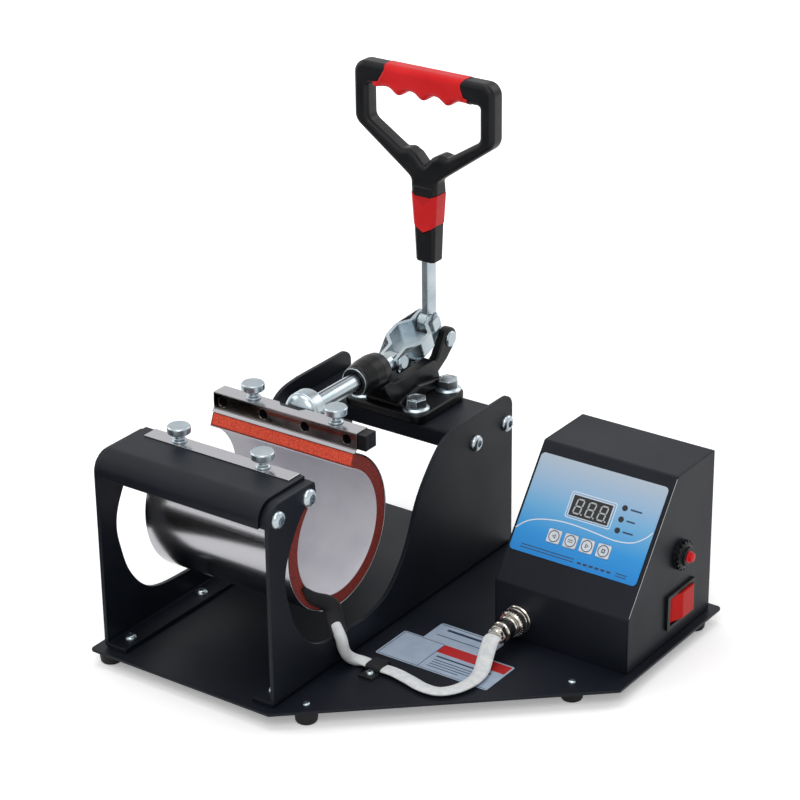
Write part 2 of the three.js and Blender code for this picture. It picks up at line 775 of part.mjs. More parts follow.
// Toggle link: a channel that bulges outwards in plan, with its two pins
const linkMiddle = linkLong / 2;
const linkEnd = linkHigh / 2;
const bulgeHalf = linkMiddle - linkEndFlat - linkEnd / 2 - linkSlope;
const outerWall = linkGapHalf + linkWall;
const wallLine = [
  [outerWall, -linkEnd], [outerWall, linkMiddle - bulgeHalf - linkSlope],
  [linkBulge, linkMiddle - bulgeHalf], [linkBulge, linkMiddle + bulgeHalf],
  [outerWall, linkMiddle + bulgeHalf + linkSlope], [outerWall, linkLong + linkEnd],
];
const linkSide = slabZ(ribbon(wallLine, linkWall), -linkEnd, linkEnd);
const webLine = wallLine.slice(1, 5).map(([x, s]) => [x - linkWall / 2, s]);
const webOutline = [...webLine, ...webLine.map(([x, s]) => [-x, s]).reverse()];
const linkShape = slabX([
  ...arc(0, 0, linkEnd, 270, 90, 3 * arcStep),
  ...arc(linkLong, 0, linkEnd, 90, -90, 3 * arcStep),
], -linkBulge - over, linkBulge + over);
const pinSpan = outerWall + pinHeadHigh;
const linkPin = (s) => fuse(
  rod("x", [0, s, 0], -outerWall, outerWall, pinRadius),
  rod("x", [0, s, 0], outerWall - weld, pinSpan, pinHeadRadius - over, plainSides),
  rod("x", [0, s, 0], -pinSpan, weld - outerWall, pinHeadRadius - over, plainSides),
);
const link = fuse(
  fuse(linkSide, mirrorX(linkSide), slabZ(webOutline, -linkEnd, linkWeb - linkEnd)).intersect(linkShape),
  linkPin(0), linkPin(linkLong),
);
const linkGroup = new THREE.Group();
linkGroup.position.set(0, tangY, plungerZ);
linkGroup.rotation.x = linkAngle;
press.add(linkGroup);
add("toggle_link", link, zinc, linkGroup);

// Lever: a flat bar with a crank foot
function stadium([y0, z0], [y1, z1], radius) {
  const turn = THREE.MathUtils.radToDeg(Math.atan2(z1 - z0, y1 - y0));
  return [
    ...arc(y0, z0, radius, turn + 270, turn + 90, 2 * arcStep),
    ...arc(y1, z1, radius, turn + 90, turn - 90, 2 * arcStep),
  ];
}
const leverHalf = leverThick / 2;
const leverFront = leverMiddle - leverWide / 2;
const leverBack = leverMiddle + leverWide / 2;
const pinHole = (y, z, radius) => rod("x", [0, y, z], -earInner, earInner, radius + slack);
const spacer = rod("x", [0, pivotY, plungerZ], gap - earInner, earInner - gap, leverBoss);
const crankBoss = rod("x", [0, crankY, crankZ], gap - linkGapHalf, linkGapHalf - gap, leverBoss - over);
add("lever_bar", cut(
  fuse(
    slabX(stadium([crankY, crankZ], [pivotY, plungerZ], leverBoss), -leverHalf, leverHalf),
    block([-leverHalf, leverHalf], [leverFront, leverBack], [crankZ, leverTop]),
    spacer, crankBoss,
  ),
  pinHole(crankY, crankZ, pinRadius), pinHole(pivotY, plungerZ, handlePinRadius),
), zinc);

// D-handle: outline and window seen from the front, the ferrule at its foot
const ferruleLow = leverTop - ferruleOver;
const collarLow = ferruleLow + ferruleHigh;
const neckLow = collarLow + collarHigh;
const handleTop = neckLow + handleHigh;
const windowTop = handleTop - gripHigh;
const windowHalf = handleHalf - armWide;
const insertLowHalf = windowHalf - insertInset;
const insertTopHalf = insertLowHalf - insertLean;
const atShare = (name) => neckLow + handleShares[name] * handleHigh;
const leverSocket = block(
  [-leverHalf - slack, leverHalf + slack],
  [leverFront - slack, leverBack + slack], [ferruleLow - over, leverTop + slack],
);
const handleFront = leverMiddle - handleDeep / 2;
const handleBack = leverMiddle + handleDeep / 2;
const bothSides = (half) => [...half, ...half.map(([x, z, r]) => [-x, z, r]).reverse()];
const handleShape = slabY(rounded(bothSides([
  [neckHalf, neckLow, 0], [neckHalf, atShare("neckTop") - neckHalf / 2, cornerRound],
  [handleNeckHalf, atShare("neckTop"), cornerRound],
  [handleHalf, atShare("shoulder"), handleCorner],
  [handleHalf, handleTop, handleCorner],
])), handleFront, handleBack);
const windowShape = slabY(rounded([
  [0, atShare("windowVee"), cornerRound], [windowVeeHalf, atShare("windowHump"), cornerRound],
  [windowHumpHalf, atShare("windowHump"), cornerRound],
  [windowHalf, atShare("windowLow"), windowCorner],
  [windowHalf, windowTop, windowCorner], [-windowHalf, windowTop, windowCorner],
  [-windowHalf, atShare("windowLow"), windowCorner],
  [-windowHumpHalf, atShare("windowHump"), cornerRound],
  [-windowVeeHalf, atShare("windowHump"), cornerRound],
]), handleFront - over, handleBack + over);
const insertSides = (extra) => [
  [insertTopHalf + extra, handleTop + over], [-insertTopHalf - extra, handleTop + over],
];
const coreLow = (windowTop + handleTop) / 2 - insertCoreHalf;
const coreTop = (windowTop + handleTop) / 2 + insertCoreHalf;
const insertRoom = slabY([
  [-insertLowHalf - gap, windowTop - over], [insertLowHalf + gap, windowTop - over],
  ...insertSides(gap),
], handleFront - over, handleBack + over);
const gripCore = block(
  [-insertLowHalf - over, insertLowHalf + over],
  [leverMiddle - insertCoreHalf, leverMiddle + insertCoreHalf], [coreLow, coreTop],
);
const ferrule = slabY([
  [-ferruleLowHalf, ferruleLow], [ferruleLowHalf, ferruleLow],
  [ferruleTopHalf, collarLow], [-ferruleTopHalf, collarLow],
], leverMiddle - ferruleDeep / 2, leverMiddle + ferruleDeep / 2);
const neckCore = block(
  [-coreHalf, coreHalf], [leverMiddle - coreDeep / 2, leverMiddle + coreDeep / 2],
  [collarLow - over, neckLow + over],
);
add("handle_grip", cut(
  fuse(cut(handleShape, windowShape, insertRoom), gripCore, neckCore, ferrule), leverSocket,
), blackPlastic);
const scallops = Array.from({ length: scallopSteps + 1 }, (_, i) => {
  const x = insertLowHalf - (2 * insertLowHalf * i) / scallopSteps;
  const wave = Math.cos((2 * Math.PI * (x - scallopMiddle)) / scallopPitch);
  return [x, windowTop - (scallopDeep * (1 + wave)) / 2];
}).reverse();
const insertShape = slabY([
  ...scallops, [insertTopHalf, handleTop + insertProud], [-insertTopHalf, handleTop + insertProud],
], handleFront - insertProud, handleBack + insertProud);
const insertBore = block(
  [-handleHalf, handleHalf],
  [leverMiddle - insertCoreHalf - gap, leverMiddle + insertCoreHalf + gap],
  [coreLow - gap, coreTop + gap],
);
add("grip_insert", cut(insertShape, insertBore), redPlastic);
const collarShape = slabY([
  [-collarLowHalf, collarLow + collarVee], [0, collarLow + gap],
  [collarLowHalf, collarLow + collarVee],
  [collarHalf, neckLow - gap], [-collarHalf, neckLow - gap],
], leverMiddle - collarDeep / 2, leverMiddle + collarDeep / 2);
const collarBore = block(
  [-coreHalf - gap, coreHalf + gap],
  [leverMiddle - coreDeep / 2 - gap, leverMiddle + coreDeep / 2 + gap],
  [collarLow - over, neckLow + over],
);
add("handle_collar", cut(collarShape, collarBore), redPlastic);

// Control box: a bent shell with holes for what goes through it, and its rear cover
const slopeAngle = Math.atan2(boxHigh - boxBend, boxTopFront - boxFront);
const panel = new THREE.Group();
panel.position.set(boxLeft, boxFront, boxBend);
panel.rotation.x = slopeAngle;
press.add(panel);
panel.updateMatrix();
const inPanel = (body) => solid(geometryOf(body).applyMatrix4(panel.matrix));
const boxFace = [
  [boxFront, 0], [boxFront, boxBend], [boxTopFront, boxHigh], [boxBack, boxHigh],
];
const boxOutline = [...boxFace, [boxBack, 0]];
const buttonPlaces = Array.from({ length: buttonCount }, (_, i) => buttonFirst + buttonPitch * i);
const buttonHole = (u, room, from, to) => slabZ(roundedBox(
  [u - buttonWide / 2 - room, u + buttonWide / 2 + room],
  [buttonRow - buttonWide / 2 - room, buttonRow + buttonWide / 2 + room], buttonCorner,
), from, to);
const buttonHoles = buttonPlaces.map((u) => buttonHole(u, gap, -boxWall - over, overlayThick + over));
const rockerRoom = (long, high, x0, x1) =>
  block([x0, x1], [rockerY - long / 2, rockerY + long / 2], [rockerZ - high / 2, rockerZ + high / 2]);
add("box_shell", cut(
  fuse(
    slabX(ribbon(boxFace, -boxWall), boxLeft, boxRight),
    slabX(boxOutline, boxLeft, boxLeft + boxWall), slabX(boxOutline, boxRight - boxWall, boxRight),
  ),
  ...buttonHoles.map(inPanel),
  rod("y", [plugX, boxFront, plugZ], -over, boxWall + over, socketTail + slack),
  rod("x", [boxRight, resetY, resetZ], -boxWall - over, over, resetTipRadius + slack),
  rockerRoom(rockerBodyLong + 2 * gap, rockerBodyHigh + 2 * gap, boxRight - boxWall - over,
    boxRight + over),
), paint);
const inletRoom = (extra, y0, y1) => block(
  [inletX - inletWide / 2 - extra, inletX + inletWide / 2 + extra], [y0, y1],
  [inletZ - inletHigh / 2 - extra, inletZ + inletHigh / 2 + extra],
);
add("box_rear_cover", cut(block(
  [boxLeft + boxWall + gap, boxRight - boxWall - gap], [boxBack - coverThick, boxBack],
  [gap, boxHigh - boxWall - gap],
), inletRoom(gap, boxBack - coverThick - over, boxBack + over)), paint);

// Panel overlay, display and buttons, in the sloping face's own frame
const overlayLocal = slabZ(roundedBox(
  [overlayInset, boxRight - boxLeft - overlayInset], [overlayLow, overlayHigh], overlayCorner,
), 0, overlayThick);
add("panel_overlay", cut(overlayLocal, ...buttonHoles), panelFilm, panel);
const displayTop = overlayThick + displayProud;
const displayFrame = (inset, from, to) => slabZ(roundedBox(
  [displayLeft + inset, displayLeft + displayWide - inset],
  [displayLow + inset, displayLow + displayHigh - inset], displayCorner,
), from, to);
add("display_window", cut(
  displayFrame(0, overlayThick + gap / 6, displayTop),
  displayFrame(displayRim, overlayThick + displayProud / 2, displayTop + over),
), blackPlastic, panel);
buttonPlaces.forEach((u, i) =>
  add("panel_button_" + (i + 1), buttonHole(u, 0, -buttonDeep, overlayThick + buttonProud),
    blackPlastic, panel));
const boardFar = boxRight - boxLeft - boardInset;
const boardHigh = overlayHigh - gap;
const standoffs = [boardInset + standoffRadius, boardFar - standoffRadius].flatMap((u) =>
  [boardInset + standoffRadius, boardHigh - standoffRadius].map((v) =>
    rod("z", [u, v, 0], -boardBehind - weld, -boxWall - gap, standoffRadius)));
add("circuit_board", fuse(
  slabZ([[boardInset, boardInset], [boardFar, boardInset], [boardFar, boardHigh],
    [boardInset, boardHigh]], -boardBehind - boardThick, -boardBehind),
  ...standoffs,
), boardGreen, panel);

// Overheat reset: a knurled nut round a red push button
add("reset_nut", cut(
  turned([
    [0, 0], [resetNutRadius, 0], [resetNutRadius, resetNutEdge],
    [resetNutCrown, resetNutHigh], [0, resetNutHigh],
  ], "x", [boxRight, resetY, resetZ]),
  rod("x", [boxRight, resetY, resetZ], -over, resetNutHigh + over, resetTipRadius + slack),
), blackPlastic);
add("reset_button", rod("x", [boxRight, resetY, resetZ], -resetInside, resetOut, resetTipRadius),
  redPlastic);

// Rocker switch: its frame, and the rocker that tilts in it
const pocketLong = rockerLong + 2 * rockerRoomLong;
add("rocker_frame", cut(
  fuse(
    rockerRoom(rockerFrameLong, rockerFrameHigh, boxRight, boxRight + rockerFrameProud),
    rockerRoom(rockerBodyLong, rockerBodyHigh, boxRight - rockerBodyDeep, boxRight + weld),
  ),
  rockerRoom(pocketLong, rockerHigh + 2 * gap, boxRight - rockerPocketDeep,
    boxRight + rockerFrameProud + over),
), blackPlastic);
const rockerGroup = new THREE.Group();
rockerGroup.position.set(boxRight, rockerY, 0);
rockerGroup.rotation.z = rad(rockerTilt);
press.add(rockerGroup);
add("rocker", slabZ([
  [-rockerLow, -rockerLong / 2], [rockerEnd, -rockerLong / 2], [rockerCrown, 0],
  [rockerEnd, rockerLong / 2], [-rockerLow, rockerLong / 2],
], rockerZ - rockerHigh / 2, rockerZ + rockerHigh / 2), redPlastic, rockerGroup);

// Mains inlet: a socket with three pins, open to the back
const inletBack = boxBack + inletFlangeThick;
const pinBlade = (n) => block(
  [inletX + n * inletPinPitch - inletPinWide / 2, inletX + n * inletPinPitch + inletPinWide / 2],
  [inletBack - inletDeep + inletPocketWall - weld, inletBack - inletPinLong + inletPinWide],
  [inletZ - inletPinWide, inletZ + inletPinWide],
);
add("power_inlet", fuse(
  cut(
    fuse(inletRoom(0, inletBack - inletDeep, boxBack + weld), inletRoom(inletFlange, boxBack, inletBack)),
    inletRoom(-inletPocketWall, inletBack - inletDeep + inletPocketWall, inletBack + over),
  ),
  ...[-1, 0, 1].map(pinBlade),
), blackPlastic);

// Connector on the front of the box: socket, ring nut, plug
const noseEnd = -socketFlangeThick - socketNoseLong;
const ringFront = -socketFlangeThick - gap - ringNutLong;
const plugAt = [plugX, boxFront, plugZ];
add("connector_socket", turned([
  [0, socketTailLong], [socketTail, socketTailLong], [socketTail, 0], [socketFlange, 0],
  [socketFlange, -socketFlangeThick], [socketNose, -socketFlangeThick], [socketNose, noseEnd],
  [0, noseEnd],
].reverse(), "y", plugAt), zinc);
add("connector_ring", cut(
  rod("y", plugAt, ringFront, -socketFlangeThick - gap, ringNutRadius, fineSides),
  rod("y", plugAt, ringFront - over, 0, socketNose + slack),
), zinc);
const plugFront = ringFront - gap;
const plugBack = plugFront - plugLong;
const glandBack = plugBack - glandLong;
add("connector_plug", turned([
  [0, noseEnd - gap], [socketNose, noseEnd - gap], [socketNose, plugFront], [plugRadius, plugFront],
  [plugRadius, plugBack], [glandRadius, plugBack - gap], [glandRadius, glandBack], [0, glandBack],
], "y", plugAt), zinc);

// Flat lead: a curve that carries its flat side along without twisting
class FlatCurve extends THREE.CatmullRomCurve3 {
  computeFrenetFrames(count) {
    const tangents = Array.from({ length: count + 1 }, (_, i) => this.getTangentAt(i / count));
    const normals = [];
    const binormals = [];
    let flat = vec(0, 0, 1);
    for (const tangent of tangents) {
      flat = flat.clone().addScaledVector(tangent, -flat.dot(tangent)).normalize();
      normals.push(flat);
      binormals.push(tangent.clone().cross(flat));
    }
    return { tangents, normals, binormals };
  }
}
function flatTube(route, thick, wide, steps) {
  const section = new THREE.Shape();
  section.absellipse(0, 0, thick / 2, wide / 2, 0, 2 * Math.PI);
  const outline = new THREE.Shape(section.getPoints(cordSides / 2).slice(0, -1));
  const extrudePath = new FlatCurve(route.map((p) => vec(...p)));
  return solid(new THREE.ExtrudeGeometry(outline, { steps, extrudePath, bevelEnabled: false }));
}
const leadRoute = [
  ...leadByPlug.map(([x, y, z]) => [plugX + x, y, z]),
  ...leadByPlate.map(([x, y, z]) => [halfWide + x, y, z]),
];
const bootRoute = [
  ...bootByPlate.map(([x, y, z]) => [halfWide + x, y, z]),
  ...bootByHeater.map(([x, y, z]) => [heaterHalf + x, y, z]),
];
add("heater_lead", flatTube(leadRoute, leadThick, leadWide, leadSteps), glassFibre);
add("lead_boot", flatTube(bootRoute, bootThick, bootWide, bootSteps), blackPlastic);

// Clip that holds the lead on the base
const clipX = halfWide + clipOut;
const clipMiddle = leadByPlate.find(([x]) => x === clipOut)[1];
const clipRoom = leadWide / 2 + gap;
const clipLine = [
  [clipMiddle - clipRoom - clipTab, 0], [clipMiddle - clipRoom, 0],
  [clipMiddle - clipRoom, leadThick + 2 * gap + clipRound / 2],
  [clipMiddle + clipRoom, leadThick + 2 * gap + clipRound / 2], [clipMiddle + clipRoom, 0],
];
add("lead_clip", slabX(ribbon(clipLine, clipThick), clipX - clipWide / 2, clipX + clipWide / 2),
  blackPlastic);

// The part's origin: the middle of its box, on the surface that it stands on
press.updateMatrixWorld(true);
const bounds = new THREE.Box3().setFromObject(press);
const middle = bounds.getCenter(vec(0, 0, 0));
press.position.set(-middle.x, -middle.y, -bounds.min.z);

export default press;
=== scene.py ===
import bpy
import bmesh
import json
import math
from mathutils import Matrix, Vector


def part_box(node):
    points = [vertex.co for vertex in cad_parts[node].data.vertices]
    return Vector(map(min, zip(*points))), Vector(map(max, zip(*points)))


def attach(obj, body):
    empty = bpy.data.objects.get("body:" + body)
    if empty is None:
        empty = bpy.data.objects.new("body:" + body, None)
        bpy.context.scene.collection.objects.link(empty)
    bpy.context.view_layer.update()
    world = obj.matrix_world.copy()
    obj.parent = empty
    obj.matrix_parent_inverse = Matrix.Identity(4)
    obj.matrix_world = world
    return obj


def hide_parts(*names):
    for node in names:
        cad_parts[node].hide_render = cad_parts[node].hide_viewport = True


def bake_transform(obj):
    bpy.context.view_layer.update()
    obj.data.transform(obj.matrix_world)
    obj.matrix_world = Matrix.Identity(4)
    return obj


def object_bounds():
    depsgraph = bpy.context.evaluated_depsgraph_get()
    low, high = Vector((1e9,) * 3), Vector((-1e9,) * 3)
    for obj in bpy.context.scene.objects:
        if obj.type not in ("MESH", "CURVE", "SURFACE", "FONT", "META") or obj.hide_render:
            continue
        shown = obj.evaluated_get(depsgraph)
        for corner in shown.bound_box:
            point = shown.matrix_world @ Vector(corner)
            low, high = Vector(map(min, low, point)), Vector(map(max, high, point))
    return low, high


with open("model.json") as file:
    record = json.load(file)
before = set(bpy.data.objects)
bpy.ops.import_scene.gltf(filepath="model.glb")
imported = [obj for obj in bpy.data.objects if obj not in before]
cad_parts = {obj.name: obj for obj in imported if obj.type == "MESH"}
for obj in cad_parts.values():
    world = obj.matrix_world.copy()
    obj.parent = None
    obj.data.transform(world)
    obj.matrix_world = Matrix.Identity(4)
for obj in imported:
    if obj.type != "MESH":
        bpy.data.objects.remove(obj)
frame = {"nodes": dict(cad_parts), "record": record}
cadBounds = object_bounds()
mm = 0.001

# Everything below is in millimetres from one corner: the middle of the ring across, the side
# plates' front edge, and the top of the base plate.
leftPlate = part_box("side_plate_left")
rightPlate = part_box("side_plate_right")
corner = Vector(((leftPlate[0].x + rightPlate[1].x) / 2, rightPlate[0].y, rightPlate[0].z))
toFrame = Matrix.Translation(corner) @ Matrix.Scale(mm, 4)


def point(place):
    return toFrame @ Vector(place)


# Camera

cameraSetup = {
    "place": (973.68, -1126.31, 873.10),
    "forward": (-0.52813, 0.73986, -0.41675),
    "roll": -0.69,
    "lens": 120.15,
    "sensor": 36,
}


def makeCamera():
    data = bpy.data.cameras.new("camera")
    data.lens = cameraSetup["lens"]
    data.sensor_width = cameraSetup["sensor"]
    data.clip_start = 0.05
    data.clip_end = 30
    camera = bpy.data.objects.new("camera", data)
    bpy.context.scene.collection.objects.link(camera)
    forward = Vector(cameraSetup["forward"]).normalized()
    level = forward.cross(Vector((0, 0, 1))).normalized()
    upward = level.cross(forward)
    roll = math.radians(cameraSetup["roll"])
    right = level * math.cos(roll) + upward * math.sin(roll)
    up = right.cross(forward)
    facing = Matrix((right, up, -forward)).transposed().to_4x4()
    camera.matrix_world = Matrix.Translation(point(cameraSetup["place"])) @ facing
    bpy.context.scene.camera = camera


makeCamera()
print("camera placed")


# Materials

def colour(text):  # an sRGB hex value as the linear colour that a shader takes
    parts = [int(text[i:i + 2], 16) / 255 for i in (1, 3, 5)]
    linear = [c / 12.92 if c <= 0.04045 else ((c + 0.055) / 1.055) ** 2.4 for c in parts]
    return (*linear, 1.0)


def addNode(tree, kind, settings=None, links=None):
    node = tree.nodes.new(kind)
    for key, value in (settings or {}).items():
        if key in node.inputs:
            node.inputs[key].default_value = value
        else:
            setattr(node, key, value)
    for key, source in (links or {}).items():
        tree.links.new(source, node.inputs[key])
    return node


def newMaterial(name, base, metallic, roughness, **sockets):
    material = bpy.data.materials.new(name)
    material.use_nodes = True
    tree = material.node_tree
    shader = tree.nodes["Principled BSDF"]
    shader.inputs["Base Color"].default_value = colour(base)
    shader.inputs["Metallic"].default_value = metallic
    shader.inputs["Roughness"].default_value = roughness
    for key, value in sockets.items():
        shader.inputs[key.replace("_", " ")].default_value = value
    where = addNode(tree, "ShaderNodeTexCoord").outputs["Object"]
    return material, tree, shader, where


def toned(tree, shader, source, stops):  # colours along a pattern that runs from 0 to 1
    node = addNode(tree, "ShaderNodeValToRGB", None, {"Fac": source})
    ramp = node.color_ramp
    while len(ramp.elements) < len(stops):
        ramp.elements.new(0.5)
    for element, (place, tone) in zip(ramp.elements, stops):
        element.position = place
        element.color = colour(tone)
    tree.links.new(node.outputs["Color"], shader.inputs["Base Color"])


def raised(tree, shader, source, height, strength):  # height in mm
    bump = addNode(tree, "ShaderNodeBump", {"Strength": strength, "Distance": height * mm},
                   {"Height": source})
    tree.links.new(bump.outputs["Normal"], shader.inputs["Normal"])


# Three patterns that most surfaces share: size is the width of one grain or cloud in mm

def grain(tree, shader, where, size, height, strength, detail=2.0):
    noise = addNode(tree, "ShaderNodeTexNoise", {"Scale": 1 / (size * mm), "Detail": detail},
                    {"Vector": where})
    raised(tree, shader, noise.outputs["Fac"], height, strength)


def cloudy(tree, shader, where, size, low, high):
    noise = addNode(tree, "ShaderNodeTexNoise", {"Scale": 1 / (size * mm), "Detail": 3.0},
                    {"Vector": where})
    spread = addNode(tree, "ShaderNodeMapRange",
                     {"From Min": 0.3, "From Max": 0.7, "To Min": low, "To Max": high},
                     {"Value": noise.outputs["Fac"]})
    tree.links.new(spread.outputs["Result"], shader.inputs["Roughness"])


def mottled(tree, shader, where, size, dark, light):
    noise = addNode(tree, "ShaderNodeTexNoise", {"Scale": 1 / (size * mm), "Detail": 4.0},
                    {"Vector": where})
    toned(tree, shader, noise.outputs["Fac"], [(0.35, dark), (0.65, light)])


def plainFinish(name, base, metallic, roughness, clouds, patches, bumps, **sockets):
    # clouds: size, lowest and highest roughness; patches: size, dark, light; bumps: size, height,
    # strength, detail
    material, tree, shader, where = newMaterial(name, base, metallic, roughness, **sockets)
    cloudy(tree, shader, where, *clouds)
    if patches:
        mottled(tree, shader, where, *patches)
    if bumps:
        grain(tree, shader, where, *bumps)
    return material


# Polyester powder coat baked on sheet steel: satin black with a fine orange peel
powderCoat = plainFinish("powderCoatBlack", "#0e121a", 0.0, 0.45, (60, 0.4, 0.5),
                         (35, "#0c1018", "#11151e"), (1.3, 0.05, 0.3, 2.0), Specular_IOR_Level=0.2)
# Blackened steel bar: smoother and a little darker than the coated sheet
blackenedBar = plainFinish("blackenedSteel", "#0f0f12", 0.0, 0.4, (25, 0.34, 0.46),
                           (12, "#0c0c0f", "#121215"), (0.9, 0.03, 0.3, 2.0),
                           Specular_IOR_Level=0.2)
# Painted grey-iron casting: the mould's sand grain shows softly through gloss paint
paintedIron = plainFinish("paintedIron", "#0f1013", 0.0, 0.34, (18, 0.26, 0.42),
                          (14, "#0c0d10", "#121316"), (1.7, 0.14, 0.45, 3.0),
                          Specular_IOR_Level=0.2)
# Clear-passivated zinc plating on steel: bluish metal with soft cloudy gloss
zincPlating = plainFinish("zincPlating", "#aab5bb", 1.0, 0.3, (14, 0.24, 0.34),
                          (16, "#a0acb3", "#b5bfc4"), (0.8, 0.01, 0.15, 2.0))
# Nickel-plated brass of connector shells: warm bright metal with finger haze
nickelPlating = plainFinish("nickelPlating", "#c8c4bc", 1.0, 0.2, (5, 0.12, 0.28),
                            (6, "#bdb8b0", "#d3d0c9"), (0.6, 0.01, 0.2, 2.0))
# Stainless strip face with a painted dark reflection: brownish grey patches, still polished
stripReflectionTone = plainFinish("heatTintedStainless", "#8c8a88", 1.0, 0.16, (20, 0.12, 0.22),
                         (24, "#544f4c", "#827a74"), (0.8, 0.01, 0.12, 2.0))
# Cut side of red silicone rubber: matt brownish red with small pores
siliconeSide = plainFinish("siliconeRubber", "#7a2219", 0.0, 0.72, (5, 0.66, 0.8),
                           (1.5, "#6b1c14", "#8a2a1f"), (0.9, 0.15, 0.5, 3.0))
# Open end of the silicone sponge: orange red with coarse pores
siliconeSponge = plainFinish("siliconeSponge", "#dc4128", 0.0, 0.8, (4, 0.72, 0.86),
                             (1.0, "#c23821", "#f05a3c"), (0.9, 0.3, 0.7, 3.0))
# Moulded ABS with a fine spark-eroded texture
absBlack = plainFinish("absBlack", "#111215", 0.0, 0.38, (15, 0.32, 0.44),
                       (18, "#0f1013", "#131417"), (0.6, 0.03, 0.35, 2.0),
                       Specular_IOR_Level=0.2)
# ABS coloured red right through, a little glossier on its crowns
absRed = plainFinish("absRed", "#dc1c20", 0.0, 0.38, (12, 0.32, 0.44),
                     (20, "#d6181c", "#e12125"), (0.7, 0.03, 0.3, 2.0), Specular_IOR_Level=0.2)
# Clear red polycarbonate of a lit rocker: glossy and even
lensRed = plainFinish("redPolycarbonate", "#cd1512", 0.0, 0.16, (8, 0.12, 0.2), None, None,
                      Specular_IOR_Level=0.08)
# Moulded rubber: matt black with a greyish bloom
rubberBlack = plainFinish("rubberBlack", "#1a1a1c", 0.0, 0.6, (9, 0.54, 0.68),
                          (9, "#131315", "#1c1c1f"), (0.8, 0.05, 0.4, 2.0),
                          Specular_IOR_Level=0.25)
# Glass-epoxy laminate under green solder resist
boardLaminate = plainFinish("glassEpoxy", "#1f6b3a", 0.0, 0.4, (6, 0.34, 0.46),
                            (4, "#1b5f33", "#257844"), (0.5, 0.01, 0.2, 2.0))
# Smoked acrylic window: nearly black and glossy
smokedAcrylic = plainFinish("smokedAcrylic", "#14171c", 0.0, 0.12, (14, 0.08, 0.16), None, None)
# Printed inks on film: flat colours with the film's matt surface
inkWhite, inkNavy, inkRed = [
    plainFinish(name, base, 0.0, 0.4, (5, 0.36, 0.44), None, (0.5, 0.005, 0.1, 2.0))
    for name, base in (("inkWhite", "#dfe6ee"), ("inkNavy", "#1d3350"), ("inkRed", "#b81f20"))]
# Light-diffusing epoxy of display segments: an even pale grey
segmentGrey = plainFinish("segmentGrey", "#b7bcbe", 0.0, 0.4, (5, 0.34, 0.46), None, None)
# Dark epoxy of small unlit lamps: blue-black and glossy
lampBlack = plainFinish("lampLensBlack", "#10151c", 0.0, 0.2, (3, 0.16, 0.26), None, None)
# Embossed polyester film over the keys: pale grey, handled a little unevenly
keyFilm = plainFinish("keyFilm", "#d6dbe2", 0.0, 0.35, (5, 0.3, 0.4),
                      (7, "#cfd5dc", "#dfe3e9"), (0.5, 0.005, 0.15, 2.0))
# Coated label paper: pale blue grey with a weak sheen
stickerPaper = plainFinish("stickerPaper", "#a4b4c8", 0.0, 0.45, (8, 0.4, 0.5),
                           (12, "#9eafc4", "#abbacc"), (0.7, 0.01, 0.2, 2.0))


def rolledStainless():
    # Bright-rolled stainless strip: faint roll lines along its length
    material, tree, shader, where = newMaterial("rolledStainless", "#b2b2b6", 1.0, 0.18)
    drawn = addNode(tree, "ShaderNodeMapping", {"Scale": (0.004, 1.0, 1.0)}, {"Vector": where})
    lines = addNode(tree, "ShaderNodeTexNoise", {"Scale": 1 / (0.6 * mm), "Detail": 2.0},
                    {"Vector": drawn.outputs["Vector"]}).outputs["Fac"]
    spread = addNode(tree, "ShaderNodeMapRange", {"To Min": 0.13, "To Max": 0.22},
                     {"Value": lines})
    tree.links.new(spread.outputs["Result"], shader.inputs["Roughness"])
    raised(tree, shader, lines, 0.02, 0.04)
    return material


def woven(tree, where, thread, waver, blend):  # two sets of threads that cross, thread in mm
    waveLength = 0.314  # metres from band to band of a wave texture at scale 1
    bands = [addNode(tree, "ShaderNodeTexWave",
                     {"bands_direction": side, "Scale": waveLength / (thread * mm),
                      "Distortion": waver},
                     {"Vector": where}).outputs["Fac"] for side in ("X", "DIAGONAL")]
    return addNode(tree, "ShaderNodeMath", {"operation": blend},
                   {0: bands[0], 1: bands[1]}).outputs["Value"]


def linerCloth():
    # PTFE-coated glass cloth: pale lilac grey, its plain weave drawn at 1.2 mm so that it shows
    material, tree, shader, where = newMaterial("coatedGlassCloth", "#c6c5cc", 0.0, 0.5)
    mottled(tree, shader, where, 30, "#bfbec6", "#cdccd2")
    raised(tree, shader, woven(tree, where, 1.2, 0.3, "ADD"), 0.05, 0.12)
    return material


def braidedSleeve():
    # Braided glass-fibre sleeve: off-white, its braid drawn at 1 mm so that it shows
    material, tree, shader, where = newMaterial("braidedGlass", "#dadddd", 0.0, 0.75)
    mottled(tree, shader, where, 4, "#dce0e2", "#eceeee")
    raised(tree, shader, woven(tree, where, 1.0, 0.8, "MAXIMUM"), 0.2, 0.5)
    return material


def printedFilm():
    # Polycarbonate film printed on its back: pale at the top, strong blue at the bottom
    material, tree, shader, where = newMaterial("printedFilm", "#5aa6e0", 0.0, 0.32)
    low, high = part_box("panel_overlay")
    parts = addNode(tree, "ShaderNodeSeparateXYZ", None, {"Vector": where})
    level = addNode(tree, "ShaderNodeMapRange", {"From Min": low.z, "From Max": high.z},
                    {"Value": parts.outputs["Z"]})
    toned(tree, shader, level.outputs["Result"],
          [(0.0, "#1085d6"), (0.25, "#2b97de"), (0.5, "#6db0de"), (0.75, "#9cbddb"),
           (1.0, "#b6c4d2")])
    grain(tree, shader, where, 0.5, 0.01, 0.15)
    return material


stainless = rolledStainless()
liner = linerCloth()
sleeveBraid = braidedSleeve()
filmPrint = printedFilm()

